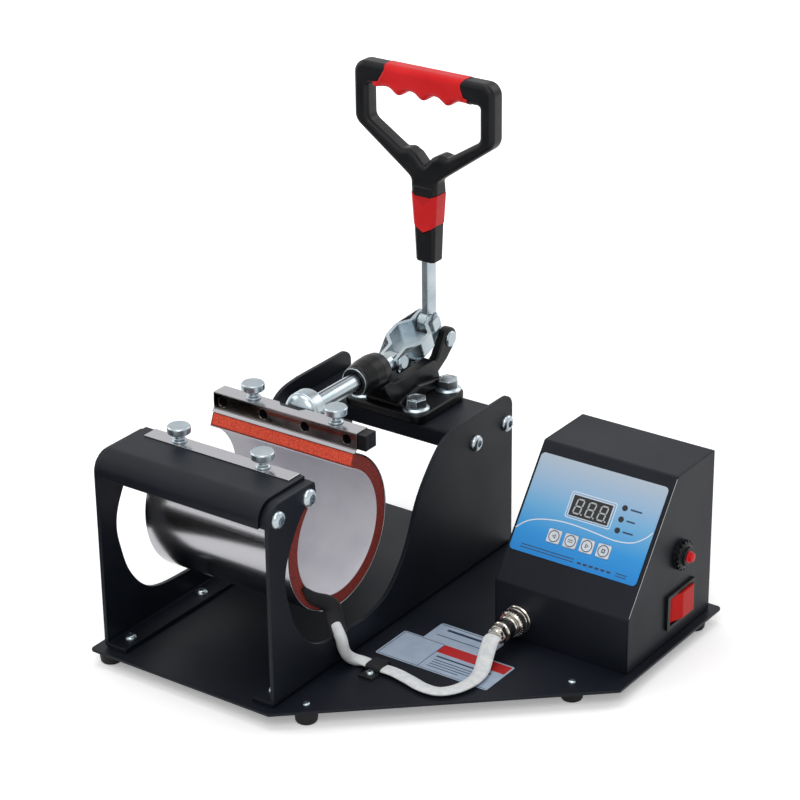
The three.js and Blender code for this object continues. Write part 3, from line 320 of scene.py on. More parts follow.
slotFinish = {
    "black_powder_coat": powderCoat, "black_bar": blackenedBar, "black_cast_iron": paintedIron,
    "zinc_plate": zincPlating, "stainless_band": stainless, "silicone_pad": siliconeSide,
    "black_rubber": rubberBlack, "foot_rubber": rubberBlack, "glass_sleeve": sleeveBraid,
    "black_plastic": absBlack, "handle_plastic": absBlack, "red_plastic": absRed,
    "panel_film": filmPrint, "button_film": keyFilm, "display_lens": smokedAcrylic,
    "board_laminate": boardLaminate, "chrome_connector": nickelPlating,
}
print("materials made")

# Shapes: each function returns a bmesh of its own, in millimetres

lifts = {
    "x": lambda a, b, h: (h, a, b),
    "y": lambda a, b, h: (a, h, b),
    "z": lambda a, b, h: (a, b, h),
}
turns = {
    "x": Matrix.Rotation(math.pi / 2, 4, "Y"),
    "y": Matrix.Rotation(-math.pi / 2, 4, "X"),
    "z": Matrix.Identity(4),
}


def only(geometry, kind):
    return [item for item in geometry if isinstance(item, kind)]


def vertsOf(geometry):
    return only(geometry, bmesh.types.BMVert)


def edgesOf(geometry):
    return only(geometry, bmesh.types.BMEdge)


def facesOf(geometry):
    return only(geometry, bmesh.types.BMFace)


def softLine(corners, steps=6, closed=True):  # corners [a, b, radius] of an outline, made round
    points = []
    count = len(corners)
    for i, (a, b, *rest) in enumerate(corners):
        here = Vector((a, b))
        radius = rest[0] if rest else 0
        if not radius or (not closed and i in (0, count - 1)):
            points.append((a, b))
            continue
        before = (Vector(corners[i - 1][:2]) - here).normalized()
        after = (Vector(corners[(i + 1) % count][:2]) - here).normalized()
        half = before.angle(after) / 2
        middle = here + (before + after).normalized() * (radius / math.sin(half))
        first = here + before * (radius / math.tan(half)) - middle
        last = here + after * (radius / math.tan(half)) - middle
        sweep = math.pi - 2 * half
        for k in range(steps + 1):
            share = k / steps
            mixed = (first * math.sin((1 - share) * sweep) + last * math.sin(share * sweep))
            points.append(tuple(middle + mixed / math.sin(sweep)))
    return points


def softBox(low, high, radius, steps=6):
    (a0, b0), (a1, b1) = low, high
    return softLine([(a0, b0, radius), (a1, b0, radius), (a1, b1, radius), (a0, b1, radius)],
                    steps)


def arcLine(middle, radius, start, end, steps):
    turn = [math.radians(start + (end - start) * k / steps) for k in range(steps + 1)]
    return [(middle[0] + radius * math.cos(t), middle[1] + radius * math.sin(t)) for t in turn]


def circleLine(middle, radius, steps=24):
    return arcLine(middle, radius, 0, 360, steps)[:-1]


def hexLine(middle, across, turn=0):
    return arcLine(middle, across / math.sqrt(3), turn, 360 + turn, 6)[:-1]


def ribbonLine(points, thick):  # a strip of even thickness to the left of an open line
    flat = [Vector(p) for p in points]
    normals = [(b - a).normalized().orthogonal() for a, b in zip(flat, flat[1:])]
    shifted = []
    for i, here in enumerate(flat):
        first = normals[max(i - 1, 0)]
        second = normals[min(i, len(normals) - 1)]
        mitre = (first + second) * (thick / (1 + first.dot(second)))
        shifted.append(tuple(here + mitre))
    return list(points) + shifted[::-1]


def bevelEdges(bm, width, segments=2, sharper=28):
    if not width:
        return
    limit = math.radians(sharper)
    edges = [e for e in bm.edges if len(e.link_faces) == 2 and e.calc_face_angle(0) > limit]
    bmesh.ops.bevel(bm, geom=edges, offset=width, offset_type="OFFSET", segments=segments,
                    profile=0.5, affect="EDGES", clamp_overlap=True, material=-1)


def prism(outline, axis, low, high, bevel=0.3, segments=2, holes=(), sharper=28):
    bm = bmesh.new()
    lift = lifts[axis]
    loops = [[bm.verts.new(lift(a, b, low)) for a, b in line] for line in (outline, *holes)]
    if holes:
        edges = [bm.edges.new((loop[i - 1], loop[i])) for loop in loops for i in range(len(loop))]
        filled = bmesh.ops.triangle_fill(bm, edges=edges, use_beauty=True, use_dissolve=False)
        faces = facesOf(filled["geom"])
    else:
        faces = [bm.faces.new(loops[0])]
    grown = bmesh.ops.extrude_face_region(bm, geom=faces)["geom"]
    bmesh.ops.translate(bm, verts=vertsOf(grown), vec=Vector(lift(0, 0, high - low)))
    bmesh.ops.recalc_face_normals(bm, faces=bm.faces)
    bevelEdges(bm, bevel, segments, sharper)
    return bm


def shrunkLine(line, depth):  # a closed outline moved inwards by depth, outwards if below zero
    area = sum(a[0] * b[1] - b[0] * a[1] for a, b in zip(line, line[1:] + line[:1]))
    side = 1 if area > 0 else -1
    flat = [Vector(p) for p in line]
    moved = []
    for before, here, after in zip(flat[-1:] + flat, flat, flat[1:] + flat[:1]):
        first, second = (here - before).normalized(), (after - here).normalized()
        normals = Vector((-first.y, first.x)), Vector((-second.y, second.x))
        turn = max(1 + normals[0].dot(normals[1]), 0.4)
        moved.append(tuple(here + (normals[0] + normals[1]) * (side * depth / turn)))
    return moved


def ringOf(bm, places):  # the edges of a closed line
    corners = [bm.verts.new(place) for place in places]
    return [bm.edges.new((corners[k - 1], corners[k])) for k in range(len(corners))]


def bridged(bm, rings):  # a wall from each ring to the next
    for lower, upper in zip(rings, rings[1:]):
        bmesh.ops.bridge_loops(bm, edges=lower + upper)


def rounded(outline, axis, low, high, radius, holes=(), steps=6):  # a plate with full round edges
    bm = bmesh.new()
    lift = lifts[axis]
    quarter = [math.pi / 2 * k / steps for k in range(steps + 1)]
    levels = [(low + radius * (1 - math.sin(t)), radius * (1 - math.cos(t)))
              for t in quarter[::-1]]
    levels += [(high - (h - low), depth) for h, depth in levels[::-1]]
    ends = [[], []]
    for line, side in [(outline, 1)] + [(hole, -1) for hole in holes]:
        rings = [ringOf(bm, [lift(a, b, h) for a, b in shrunkLine(line, side * depth)])
                 for h, depth in levels]
        bridged(bm, rings)
        ends[0] += rings[0]
        ends[1] += rings[-1]
    for edges in ends:
        bmesh.ops.triangle_fill(bm, edges=edges, use_beauty=True, use_dissolve=False)
    bmesh.ops.recalc_face_normals(bm, faces=bm.faces)
    return bm


def boxed(low, high, bevel=0.3, segments=2):
    (x0, y0, z0), (x1, y1, z1) = low, high
    return prism([(x0, y0), (x1, y0), (x1, y1), (x0, y1)], "z", z0, z1, bevel, segments)


def spun(profile, axis, at, steps=48):  # profile of (radius, distance along the axis)
    bm = bmesh.new()
    line = [bm.verts.new((r, 0, h)) for r, h in profile]
    edges = [bm.edges.new(pair) for pair in zip(line, line[1:])]
    bmesh.ops.spin(bm, geom=line + edges, cent=(0, 0, 0), axis=(0, 0, 1), angle=2 * math.pi,
                   steps=steps, use_merge=True)
    bmesh.ops.remove_doubles(bm, verts=bm.verts, dist=1e-4)
    bmesh.ops.transform(bm, matrix=Matrix.Translation(at) @ turns[axis], verts=bm.verts)
    bmesh.ops.recalc_face_normals(bm, faces=bm.faces)
    return bm


def placed(bm, matrix):
    bmesh.ops.transform(bm, matrix=matrix, verts=bm.verts)
    return bm


def joined(*parts):
    whole = bmesh.new()
    for part in parts:
        carrier = bpy.data.meshes.new("carrier")
        part.to_mesh(carrier)
        part.free()
        whole.from_mesh(carrier)
        bpy.data.meshes.remove(carrier)
    return whole


def mirrored(bm):
    bmesh.ops.scale(bm, vec=(-1, 1, 1), verts=bm.verts)
    bmesh.ops.reverse_faces(bm, faces=bm.faces)
    return bm


def paired(bm):  # a shape and its twin on the other side
    return [mirrored(bm.copy()), bm]


def smoothRoute(points, spacing):  # a Catmull-Rom line through the points, at even steps
    knots = [Vector(p) for p in points]
    knots = [knots[0] * 2 - knots[1]] + knots + [knots[-1] * 2 - knots[-2]]
    fine = []
    for a, b, c, d in zip(knots, knots[1:], knots[2:], knots[3:]):
        for k in range(12):
            t = k / 12
            fine.append(0.5 * ((2 * b) + (c - a) * t + (2 * a - 5 * b + 4 * c - d) * t * t
                               + (3 * b - a - 3 * c + d) * t ** 3))
    fine.append(Vector(points[-1]))
    even = [fine[0]]
    for place in fine[1:-1]:
        if (place - even[-1]).length >= spacing:
            even.append(place)
    return even + [fine[-1]]


def swept(route, section, sizes):  # section (flat side, width) carried along the route
    bm = bmesh.new()
    ring = [bm.verts.new((a, b, 0)) for a, b in section]
    edges = [bm.edges.new((ring[i - 1], ring[i])) for i in range(len(ring))]
    bm.faces.new(ring)
    flat = Vector((0, 0, 1))
    count = len(route)
    before = Matrix.Identity(4)
    for i, place in enumerate(route):
        along = (route[min(i + 1, count - 1)] - route[max(i - 1, 0)]).normalized()
        flat = (flat - along * flat.dot(along)).normalized()
        wide, thick = sizes[i]
        spread = Matrix.Diagonal((thick, wide, 1, 1))
        frameHere = Matrix((flat, along.cross(flat), along)).transposed().to_4x4()
        here = Matrix.Translation(place) @ frameHere @ spread
        if i:
            made = bmesh.ops.extrude_edge_only(bm, edges=edges)["geom"]
            ring = vertsOf(made)
            fresh = set(ring)
            edges = [e for e in edgesOf(made) if e.verts[0] in fresh and e.verts[1] in fresh]
        bmesh.ops.transform(bm, matrix=here @ before.inverted(), verts=ring)
        before = here
    bmesh.ops.edgeloop_fill(bm, edges=edges)
    bmesh.ops.recalc_face_normals(bm, faces=bm.faces)
    return bm


def ovalLine(wide, thick, steps=20):
    turn = [2 * math.pi * k / steps for k in range(steps)]
    return [(thick / 2 * math.sin(t), wide / 2 * math.cos(t)) for t in turn]


def titled(name):  # rear_left becomes RearLeft
    return "".join(word.capitalize() for word in name.split("_"))


def finishPiece(name, bm, slot, replaced=(), body="frame", finish=None, smooth=35):
    placed(bm, toFrame)
    mesh = bpy.data.meshes.new(name)
    for edge in bm.edges:
        edge.smooth = len(edge.link_faces) == 2 and edge.calc_face_angle(0) < math.radians(smooth)
    for face in bm.faces:
        face.smooth = True
    bm.to_mesh(mesh)
    bm.free()
    mesh.materials.append(finish or slotFinish[slot])
    piece = bpy.data.objects.new(name, mesh)
    bpy.context.scene.collection.objects.link(piece)
    weighted = piece.modifiers.new("weightedNormals", "WEIGHTED_NORMAL")
    weighted.keep_sharp = True
    if replaced:
        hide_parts(*replaced)
    if body:
        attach(piece, body)
    return piece


# Heater lead: a flat sleeved lead from the connector, under a clip, over the notch's edge and
# up into a rubber boot on the heater

lead = {
    "wide": 9.5, "thick": 3.2, "spacing": 1.2, "puffFrom": 88, "puffOver": 12,
    "route": [
        (149, 130.3, 15.5), (149, 127, 15.2), (149.6, 122.5, 11.5), (151, 116.5, 6),
        (153.6, 109, 2.8), (155.6, 100, 2.1), (155.2, 89.5, 2.1), (151.6, 79.2, 2.1),
        (144.6, 72.2, 2.1), (134, 71, 2.1), (121.6, 73.8, 2.1), (109, 76.2, 2.1),
        (95.4, 76.1, 2.1), (84, 76.6, 2.1), (79, 74.6, 2.6), (75.8, 70.6, 6.4),
        (74.8, 67.2, 13), (74.5, 65.6, 20.4), (72, 65.8, 25), (68.6, 67.6, 27.3),
    ],
}
leadPath = smoothRoute(lead["route"], lead["spacing"])
leadSizes = []  # the sleeve puffs up where it climbs to the heater
for place in leadPath:
    climb = min(max((lead["puffFrom"] - place.x) / lead["puffOver"], 0), 1)
    leadSizes.append((1.2 - 0.06 * climb, 1.25 + 1.1 * climb * climb * (3 - 2 * climb)))
leadShape = swept(leadPath, ovalLine(lead["wide"], lead["thick"]), leadSizes)
heaterLead = finishPiece("heaterLeadSleeve", leadShape, "glass_sleeve", ["heater_lead"])

boot = {
    "route": [(72.4, 66.2, 23.6), (68.2, 68.6, 28.6), (65.4, 70.4, 34.5), (63.6, 69.4, 40),
              (61.9, 64, 45), (60.6, 55, 51.5), (60, 46.5, 61.5)],
    "wide": 11.5, "thick": 6.4,
}


def makeBoot():
    path = smoothRoute(boot["route"], 1.0)
    last = len(path) - 1
    sizes = []
    for i in range(len(path)):
        share = i / last
        taper = max(share - 0.3, 0) / 0.7
        sizes.append((0.98 + 0.3 * share - 1.0 * taper ** 1.4, 0.98 - 0.66 * taper))
    return swept(path, ovalLine(boot["wide"], boot["thick"]), sizes)


finishPiece("leadBoot", makeBoot(), "black_rubber", ["lead_boot"])

clip = {
    "x": 95.4, "middle": 76.1, "wide": 11, "thick": 1.4, "room": 0.6, "tab": 9,
    "screwRadius": 2.9, "screwHigh": 1.9, "screwY": 67.2,
}


def panScrew(radius, high, at, axis, key="cross"):  # a pan head with a recessed drive
    dome = [(0, 0), (radius, 0), (radius, high * 0.3), (radius * 0.93, high * 0.62),
            (radius * 0.72, high * 0.9), (radius * 0.5, high), (radius * 0.46, high)]
    ring = spun(dome + [(radius * 0.46, high * 0.35), (0, high * 0.35)], "z", (0, 0, 0), 32)
    across = radius * 0.92
    if key == "hex":
        hole = hexLine((0, 0), across * 0.86)
    else:
        arm, half = across * 0.42, across * 0.12
        hole = [(half, half), (arm, half), (arm, -half), (half, -half), (half, -arm),
                (-half, -arm), (-half, -half), (-arm, -half), (-arm, half), (-half, half),
                (-half, arm), (half, arm)]
    cap = prism(circleLine((0, 0), radius * 0.48, 32), "z", high * 0.35, high - 0.02, 0, 1, [hole])
    return placed(joined(ring, cap), Matrix.Translation(at) @ turns[axis])


def makeClip():
    reach = lead["wide"] / 2 + clip["room"]
    top = lead["thick"] + clip["room"] * 1.4
    near, far = clip["middle"] - reach, clip["middle"] + reach
    line = softLine([(near - clip["tab"], 0.02), (near, 0.02, 0.9), (near, top, 1.2),
                     (far, top, 1.4), (far, 0.02)], 5, False)
    strap = prism(ribbonLine(line, clip["thick"]), "x", clip["x"] - clip["wide"] / 2,
                  clip["x"] + clip["wide"] / 2, 0.35)
    finishPiece("leadClip", strap, "black_rubber", ["lead_clip"])
    screw = panScrew(clip["screwRadius"], clip["screwHigh"],
                     (clip["x"], clip["screwY"], clip["thick"]), "z")
    finishPiece("clipScrew", screw, "zinc_plate")


makeClip()

plug = {  # profiles of radius and distance in front of the box
    "at": (149, 160, 15.5), "knurls": 30, "claws": 6,
    "flange": [(0, 0.2), (9.6, 0.2), (9.9, -0.4), (9.9, -2.0), (9.4, -2.5), (6, -2.5),
               (6, -8.5), (0, -8.5)],
    "ring": [(6.2, -2.8), (8.5, -2.8), (9, -3.4), (9, -4.2), (8.5, -4.5), (8.5, -5.2),
             (9, -5.5), (9, -10.2), (8.3, -10.8), (6.2, -10.8), (6.2, -2.8)],
    "body": [(0, -8.8), (6, -8.8), (6, -11.1), (7, -11.1), (7.3, -11.8), (7.3, -13.4),
             (6.6, -14), (6.6, -18.6), (7, -19.2), (7, -21.6), (6.4, -22.2), (5.2, -22.4),
             (5.2, -24)],
    "collet": [(5.2, -26), (5.4, -27), (5.2, -28.4), (4.6, -29.3), (0, -29.4)],
}


def makeConnector():
    at = plug["at"]
    finishPiece("connectorSocket", spun(plug["flange"], "y", at), "chrome_connector",
                ["connector_socket"])
    ring = spun(plug["ring"], "y", at, 60)
    knurls = []
    for k in range(plug["knurls"]):
        turn = Matrix.Translation(at) @ Matrix.Rotation(2 * math.pi * k / plug["knurls"], 4, "Y")
        rib = boxed((-0.45, -9.9, 8.7), (0.45, -5.7, 9.25), 0.2, 1)
        knurls.append(placed(rib, turn))
    finishPiece("connectorRing", joined(ring, *knurls), "chrome_connector", ["connector_ring"],
                "coupling_ring")
    body = spun(plug["body"], "y", at)
    nut = prism(hexLine((0, 0), 11.6), "y", -26.6, -22.3, 0.5)
    collet = spun(plug["collet"], "y", (0, 0, 0))
    claws = []
    for k in range(plug["claws"]):
        claw = boxed((-1.3, -29.2, 4.6), (1.3, -26.2, 5.6), 0.4)
        claws.append(placed(claw, Matrix.Rotation(2 * math.pi * k / plug["claws"], 4, "Y")))
    gland = placed(joined(nut, collet, *claws), Matrix.Translation(at))
    finishPiece("connectorPlug", joined(body, gland), "chrome_connector", ["connector_plug"])


makeConnector()
print("lead, boot, clip and connector made")

# Base plate, feet, stickers

base = {
    "thick": 2, "left": -76.5, "right": 237.8, "front": -7.6, "back": 272.6,
    "cut": (70.9, 141.2), "round": 3,
}
footLine = [(0, -12), (5.6, -12), (6.6, -11.6), (7.2, -10.6), (8, -3.2), (7.8, -2.3),
            (7.4, -2.02), (0, -2.02)]
feet = {
    "front_left": (-68.5, 4), "front_middle": (82.9, 16), "front_right": (206.6, 133.2),
    "rear_left": (-68.5, 256.6), "rear_right": (225.8, 256.6),
}


def makeBase():
    corners = [(base["left"], base["front"]), (base["cut"][0], base["front"]),
               (base["right"], base["cut"][1]), (base["right"], base["back"]),
               (base["left"], base["back"])]
    outline = softLine([(x, y, base["round"]) for x, y in corners], 5)
    finishPiece("basePlate", prism(outline, "z", -base["thick"], 0, 0.5, 2), "black_powder_coat",
                ["base_plate"])
    for name, spot in feet.items():
        finishPiece("foot" + titled(name), spun(footLine, "z", (*spot, 0)), "foot_rubber",
                    ["foot_" + name])
    for side in ("middle", "right"):
        screw = panScrew(2.6, 1.3, (*feet["front_" + side], 0), "z")
        finishPiece("footScrew" + titled(side), screw, "zinc_plate")


makeBase()

stickers = {  # corner, far corner, corner radius, height above the plate
    "stickerSmall": ((95.5, 124), (145, 149.5), 2.2, 0.02),
    "stickerWide": ((80.8, 93), (167.5, 127.2), 1.6, 0.1),
    "stickerBand": ((113.8, 115.8), (166.2, 126), 0.4, 0.18),
}
stickerLines = {  # height above the plate, then x, y, length and depth of each printed line
    0.17: [(113.2, 94.4, 0.5, 31.5), (82, 94, 84.2, 0.5), (82, 125.8, 31, 0.5), (82, 94, 0.5, 32),
           (117, 110.5, 42, 1.6), (118, 106.6, 34, 0.8), (118, 103.8, 30, 0.8),
           (118, 101, 34, 0.8), (118, 98.2, 24, 0.8)],
    0.09: [(97, 147.6, 46.6, 0.6), (104, 142, 30, 2.4), (101, 134.5, 36, 0.8)],
}


def makeStickers():
    for name, (low, high, corner, level) in stickers.items():
        sheet = prism(softBox(low, high, corner), "z", level, level + 0.08, 0)
        if name == "stickerBand":
            finishPiece(name, sheet, "red_plastic", finish=inkRed)
        else:
            finishPiece(name, sheet, "glass_sleeve", finish=stickerPaper)
    lines = [boxed((x, y, level), (x + long, y + deep, level + 0.04), 0)
             for level, places in stickerLines.items() for x, y, long, deep in places]
    finishPiece("stickerLines", joined(*lines), "black_plastic", finish=inkNavy)


makeStickers()
print("base, feet and stickers made")

# Side plates

plates = {
    "half": 70, "thick": 3, "long": 272.5, "high": 139.5, "shoulder": 115, "arm": 48.5,
    "armRound": 13, "shoulderRound": 9, "flange": 18, "bend": 3.6,
    "screwInset": 10, "screws": [14, 88, 170, 255],
    "notch": [  # shares of the plate's length and height
        (0.181, 0.932), (0.123, 0.87), (0.072, 0.713), (0.057, 0.594), (0.067, 0.476),
        (0.092, 0.334), (0.141, 0.214), (0.205, 0.157), (0.324, 0.1405), (0.375, 0.14),
        (0.446, 0.179), (0.5, 0.268), (0.541, 0.381), (0.583, 0.561), (0.629, 0.682),
        (0.68, 0.777), (0.721, 0.812), (0.777, 0.824),
    ],
}
railScrews = {
    "front_low": (9.1, 129.3), "front_high": (40.6, 131.4), "rear_front": (226.8, 95),
    "rear_back": (264.7, 95),
}


def sidePlate():
    half, thick, long, high = plates["half"], plates["thick"], plates["long"], plates["high"]
    low = plates["bend"]
    notch = [(y * long, z * high, 0) for y, z in plates["notch"]]
    notch = [(p.x, p.y) for p in smoothRoute(notch, 2.2)]
    turn = plates["shoulderRound"]
    shoulder = arcLine((long - turn, plates["shoulder"] - turn), turn, 90, 0, 8)
    arm = softLine([(0, low), (0, high, plates["armRound"]), (plates["arm"], high, 1.6),
                    (plates["arm"] - 3, 120)], 8, False)[:-1]
    sheet = prism([(long, low)] + arm + notch + shoulder, "x", half - thick, half, 0.45, 2,
                  sharper=40)
    bend = softLine([(half, low), (half, 0, low), (half - plates["flange"], 0)], 6, False)
    foot = prism(ribbonLine(bend, -thick), "y", 0, long, 0.25, 1, sharper=40)
    return joined(sheet, foot)


finishPiece("sidePlateRight", sidePlate(), "black_powder_coat", ["side_plate_right"])
finishPiece("sidePlateLeft", mirrored(sidePlate()), "black_powder_coat", ["side_plate_left"])


def makeScrews():
    for side, sign in (("right", 1), ("left", -1)):
        for name, (y, z) in railScrews.items():
            head = panScrew(5.85, 3.4, (plates["half"], y, z), "x", "hex")
            finishPiece("railScrew" + titled(side + "_" + name),
                        head if sign > 0 else mirrored(head), "zinc_plate",
                        ["rail_screw_" + side + "_" + name])
        x = sign * (plates["half"] - plates["screwInset"])
        heads = [panScrew(4.2, 2.4, (x, y, plates["thick"]), "z") for y in plates["screws"]]
        finishPiece("flangeScrews" + titled(side), joined(*heads), "zinc_plate")


makeScrews()

rail = {
    "top": 141, "thick": 2, "skirt": 124, "round": 13, "long": 48.5, "capShort": 5, "gap": 0.3,
    "rearTop": 102, "rearFront": 219, "rearRound": 3.2, "drop": 13, "tab": 15,
}


def makeRails():
    thick, top = rail["thick"], rail["top"]
    room = plates["half"] - plates["thick"]
    inner = room - rail["gap"]

    def line(top, inset):
        return softLine([(rail["long"], top), (inset, top, rail["round"]),
                         (inset, rail["skirt"])], 10, False)

    cap = prism(ribbonLine(line(top, 0), thick), "x", -inner, room - rail["capShort"], 0.5, 3,
                sharper=40)
    under = prism(ribbonLine(line(top - thick, thick), thick), "x", -inner, inner, 0.3, 2,
                  sharper=40)
    tabLine = line(top - thick - 0.2, thick + 0.2) + [(rail["long"] - thick, rail["skirt"])]
    tabs = [prism(tabLine, "x", x, x + thick, 0.2, 1) for x in (-inner, inner - thick)]
    finishPiece("frontRail", joined(cap, under, *tabs), "black_powder_coat", ["front_rail"])
    top, front, back = rail["rearTop"], rail["rearFront"], plates["long"]
    channel = softLine([(back, top - rail["drop"]), (back, top, rail["rearRound"]),
                        (front, top, rail["rearRound"]), (front, top - rail["drop"])], 6, False)
    deck = prism(ribbonLine(channel, thick), "x", -inner, inner, 0.3, 2, sharper=40)
    ends = [boxed((x, front + 0.2, top - rail["tab"]), (x + thick, back - 0.2, top - 0.2))
            for x in (-inner, inner - thick)]
    finishPiece("rearRail", joined(deck, *ends), "black_powder_coat", ["rear_rail"])


makeRails()
print("plates, rails and screws made")

# Ring heater: one spring band over a silicone pad with a glass-cloth liner. The front end is held
# on the front rail and the rear end on the clamp bar; bendHeater only bakes each piece's
# placement, so band and pad keep one fixed shape.

heater = {
    "y": 86, "z": 84, "band": 52.6, "thick": 0.8, "half": 58.3, "padOuter": 51.6, "padInner": 42.5,
    "front": 135, "rear": 427, "bendStart": 72, "bendEnd": 100, "bottom": 31,
    "stripTop": 141, "stripFront": 36.5, "stripBack": 48.8, "bow": 0.3,
}
bar = {
    "front": 108.6, "back": 120.05, "low": 134.0, "top": 144.7, "left": -58, "right": 65,
    "holes": (-50.6, -17, 17, 50.6), "holeHigh": 139.7,
}


def bendHeater(piece):
    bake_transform(piece)


def ringArc(radius, start, end, steps):
    return arcLine((heater["y"], heater["z"]), radius, start, end, steps)


def bowed(face, low, high, bow):  # rows of points across a strip, pushed out into a slight bow
    middle, rise = (low + high) / 2, (high - low) / 2
    for k in range(-3, 4):
        bmesh.ops.bisect_plane(face, geom=face.verts[:] + face.edges[:] + face.faces[:],
                               plane_co=(0, 0, middle + rise * k / 4), plane_no=(0, 0, 1))
    for vert in face.verts:
        vert.co.y -= bow * (1 - ((vert.co.z - middle) / rise) ** 2)
    return face


def makeBand():
    half, outside = heater["half"], bar["front"] - 0.9
    low, top, back = bar["low"], bar["top"], bar["back"]
    first = ringArc(heater["band"], heater["front"], heater["front"], 1)[0]
    front = softLine([(heater["stripFront"], heater["stripTop"]),
                      (heater["stripBack"], heater["stripTop"], 1.2),
                      (heater["stripBack"], first[1] + 1.0, 1.5), first], 5, False)
    ring = ringArc(heater["band"], heater["front"], heater["rear"], 96)
    rear = [(outside, low - 0.6), (outside, low + 0.4)]
    shell = prism(ribbonLine(front[:-1] + ring + rear, heater["thick"]), "x", -half, half, 0.15, 1,
                  sharper=40)
    face = prism([(-half, low - 0.2), (half, low - 0.2), (half, top + 0.2), (-half, top + 0.2)],
                 "y", outside, bar["front"] - 0.1, 0.12, 1,
                 [circleLine((x, bar["holeHigh"]), 3.5) for x in bar["holes"]])
    notch = [(half, back - 0.4), (9.5, back - 0.4), (6.5, back - 4.6), (-8.5, back - 4.6),
             (-12.5, back - 0.4), (-half, back - 0.4)]
    cover = prism([(-half, outside), (half, outside)] + notch, "z", top + 0.05, top + 0.85, 0.2, 2)
    # The strip face's dark brownish tone is a painted reflection
    finishPiece("stripFace", bowed(face, low, top, heater["bow"]), "stainless_band", (),
                "heater_jaw", stripReflectionTone)
    return finishPiece("heaterBand", joined(shell, cover), "stainless_band",
                       ["heater_band_front", "heater_band_rear"], None, smooth=25)


def makePad(name, outer, inner, slot, replaced, finish=None):
    half = heater["half"] - 0.1
    line = ringArc(outer, heater["front"], heater["rear"], 96)
    line += ringArc(inner, heater["rear"], heater["front"], 96)
    pad = prism(line, "x", -half, half, 0.5 if outer - inner > 2 else 0.1, 2, sharper=40)
    return finishPiece(name, pad, slot, replaced, None, finish, smooth=25)


bendHeater(makeBand())
pad = makePad("heaterPad", heater["padOuter"], heater["padInner"], "silicone_pad",
              ["heater_pad_front", "heater_pad_rear"])
bendHeater(pad)
bendHeater(makePad("heaterLiner", heater["padInner"] + 0.1, heater["padInner"] - 0.5,
                   "silicone_pad", (), liner))


def makePadEnds():  # the open ends of the pad: orange sponge between two thin darker skins
    for name, degrees, body, turn in (("padEndRear", heater["rear"], "heater_jaw", 1),
                                      ("padEndFront", heater["front"], "frame", -1)):
        outer = heater["padOuter"] - 0.3
        inner = heater["padInner"] + 1.1
        start, end = degrees - 0.4 * turn, degrees + 0.45 * turn
        line = ringArc(outer, start, end, 1) + ringArc(inner, end, start, 1)
        half = heater["half"] - 1.4
        finishPiece(name, prism(line, "x", -half, half, 0.12, 1), "silicone_pad", (), body,
                    siliconeSponge)


makePadEnds()
print("heater made")


# Clamp bar and thumb screws

def makeBar():
    left, right, low, top = bar["left"], bar["right"], bar["low"], bar["top"]
    face = prism([(left, low), (right, low), (right, top), (left, top)], "y", bar["front"],
                 bar["front"] + 4, 0.4, 2,
                 [circleLine((x, bar["holeHigh"]), 3.4) for x in bar["holes"]])
    core = boxed((left, bar["front"] + 3.9, low), (right, bar["back"], top), 0.4)
    finishPiece("clampBar", joined(face, core), "black_bar", ["clamp_bar"], "heater_jaw")


makeBar()

thumbScrews = {  # x, y and the height that each stands on
    "front_left": (-33.7, 42.5, 141.8), "front_right": (33.7, 42.5, 141.8),
    "rear_left": (-30.2, 114.6, 145.6), "rear_right": (37.2, 114.6, 145.6),
}
thumbLine = softLine([(0, 0), (5.0, 0, 0.4), (5.0, 1.3, 0.6), (3.3, 2.3, 0.6), (3.4, 3.6, 0.8),
                      (4.4, 4.9, 0.6), (4.4, 5.6, 0.3), (7.0, 5.9, 0.6), (7.7, 6.6, 0.5),
                      (7.7, 10.4, 0.6), (7.0, 11.1, 0.5), (6.2, 10.9, 0.4), (0, 10.9)], 4, False)
for name, place in thumbScrews.items():
    finishPiece("thumbScrew" + titled(name), spun(thumbLine, "z", place), "zinc_plate",
                ["thumb_screw_" + name], "thumb_" + name)
print("clamp bar and thumb screws made")

# Plunger, toggle clamp and lever

plunger = {"z": 138, "headFront": 120.55, "headBack": 137.95, "head": 13.5, "rod": 6, "end": 227}
pivot = (282, 138)  # handle pin in the clamp body
crank = (270.235, 152.275)  # link's pin in the lever
plungerPin = (230.52, 138)  # link's pin in the plunger


def makePlunger():
    at = (0, 0, plunger["z"])
    front, head, rod = plunger["headFront"], plunger["head"], plunger["rod"]
    crown = [((head - 0.5) * math.sin(t), front + 6.6 * (1 - math.cos(t)))
             for t in [math.radians(90 * k / 14) for k in range(15)]]
    profile = crown + [(head - 0.2, front + 6.9), (head, front + 7.4), (head, front + 15.4),
                       (head - 0.4, front + 16.4), (head - 1.1, front + 17), (9.5, front + 17.4),
                       (0, front + 17.4)]
    finishPiece("plungerHead", spun(profile, "y", at, 64), "zinc_plate", ["plunger_head"],
                "plunger")
    back, end = plunger["headBack"], plunger["end"]
    shaft = spun([(0, back + 0.2), (rod, back + 0.2), (rod, end - 1), (rod - 0.6, end), (0, end)],
                 "y", at, 48)
    collar = spun([(rod, 138.1), (8.2, 138.1), (8.2, 140.4), (7.4, 141.4), (rod, 141.6)], "y", at,
                  48)
    tang = prism(softLine([(224, 132.4, 1), (236, 132.4, 5.4), (236, 143.6, 5.4),
                           (224, 143.6, 1)], 6), "x", -4.5, 4.5, 0.4)
    finishPiece("plungerRod", joined(shaft, tang, collar), "zinc_plate", ["plunger_rod"],
                "plunger")
    # A thin black strip along the rod's top: painted shade for the keyway groove
    keywayShade = boxed((-0.6, 143, 143.75), (0.6, 216, 144.06), 0.1, 1)
    finishPiece("plungerRodKeyway", keywayShade, "zinc_plate", (), "plunger", absBlack)


makePlunger()

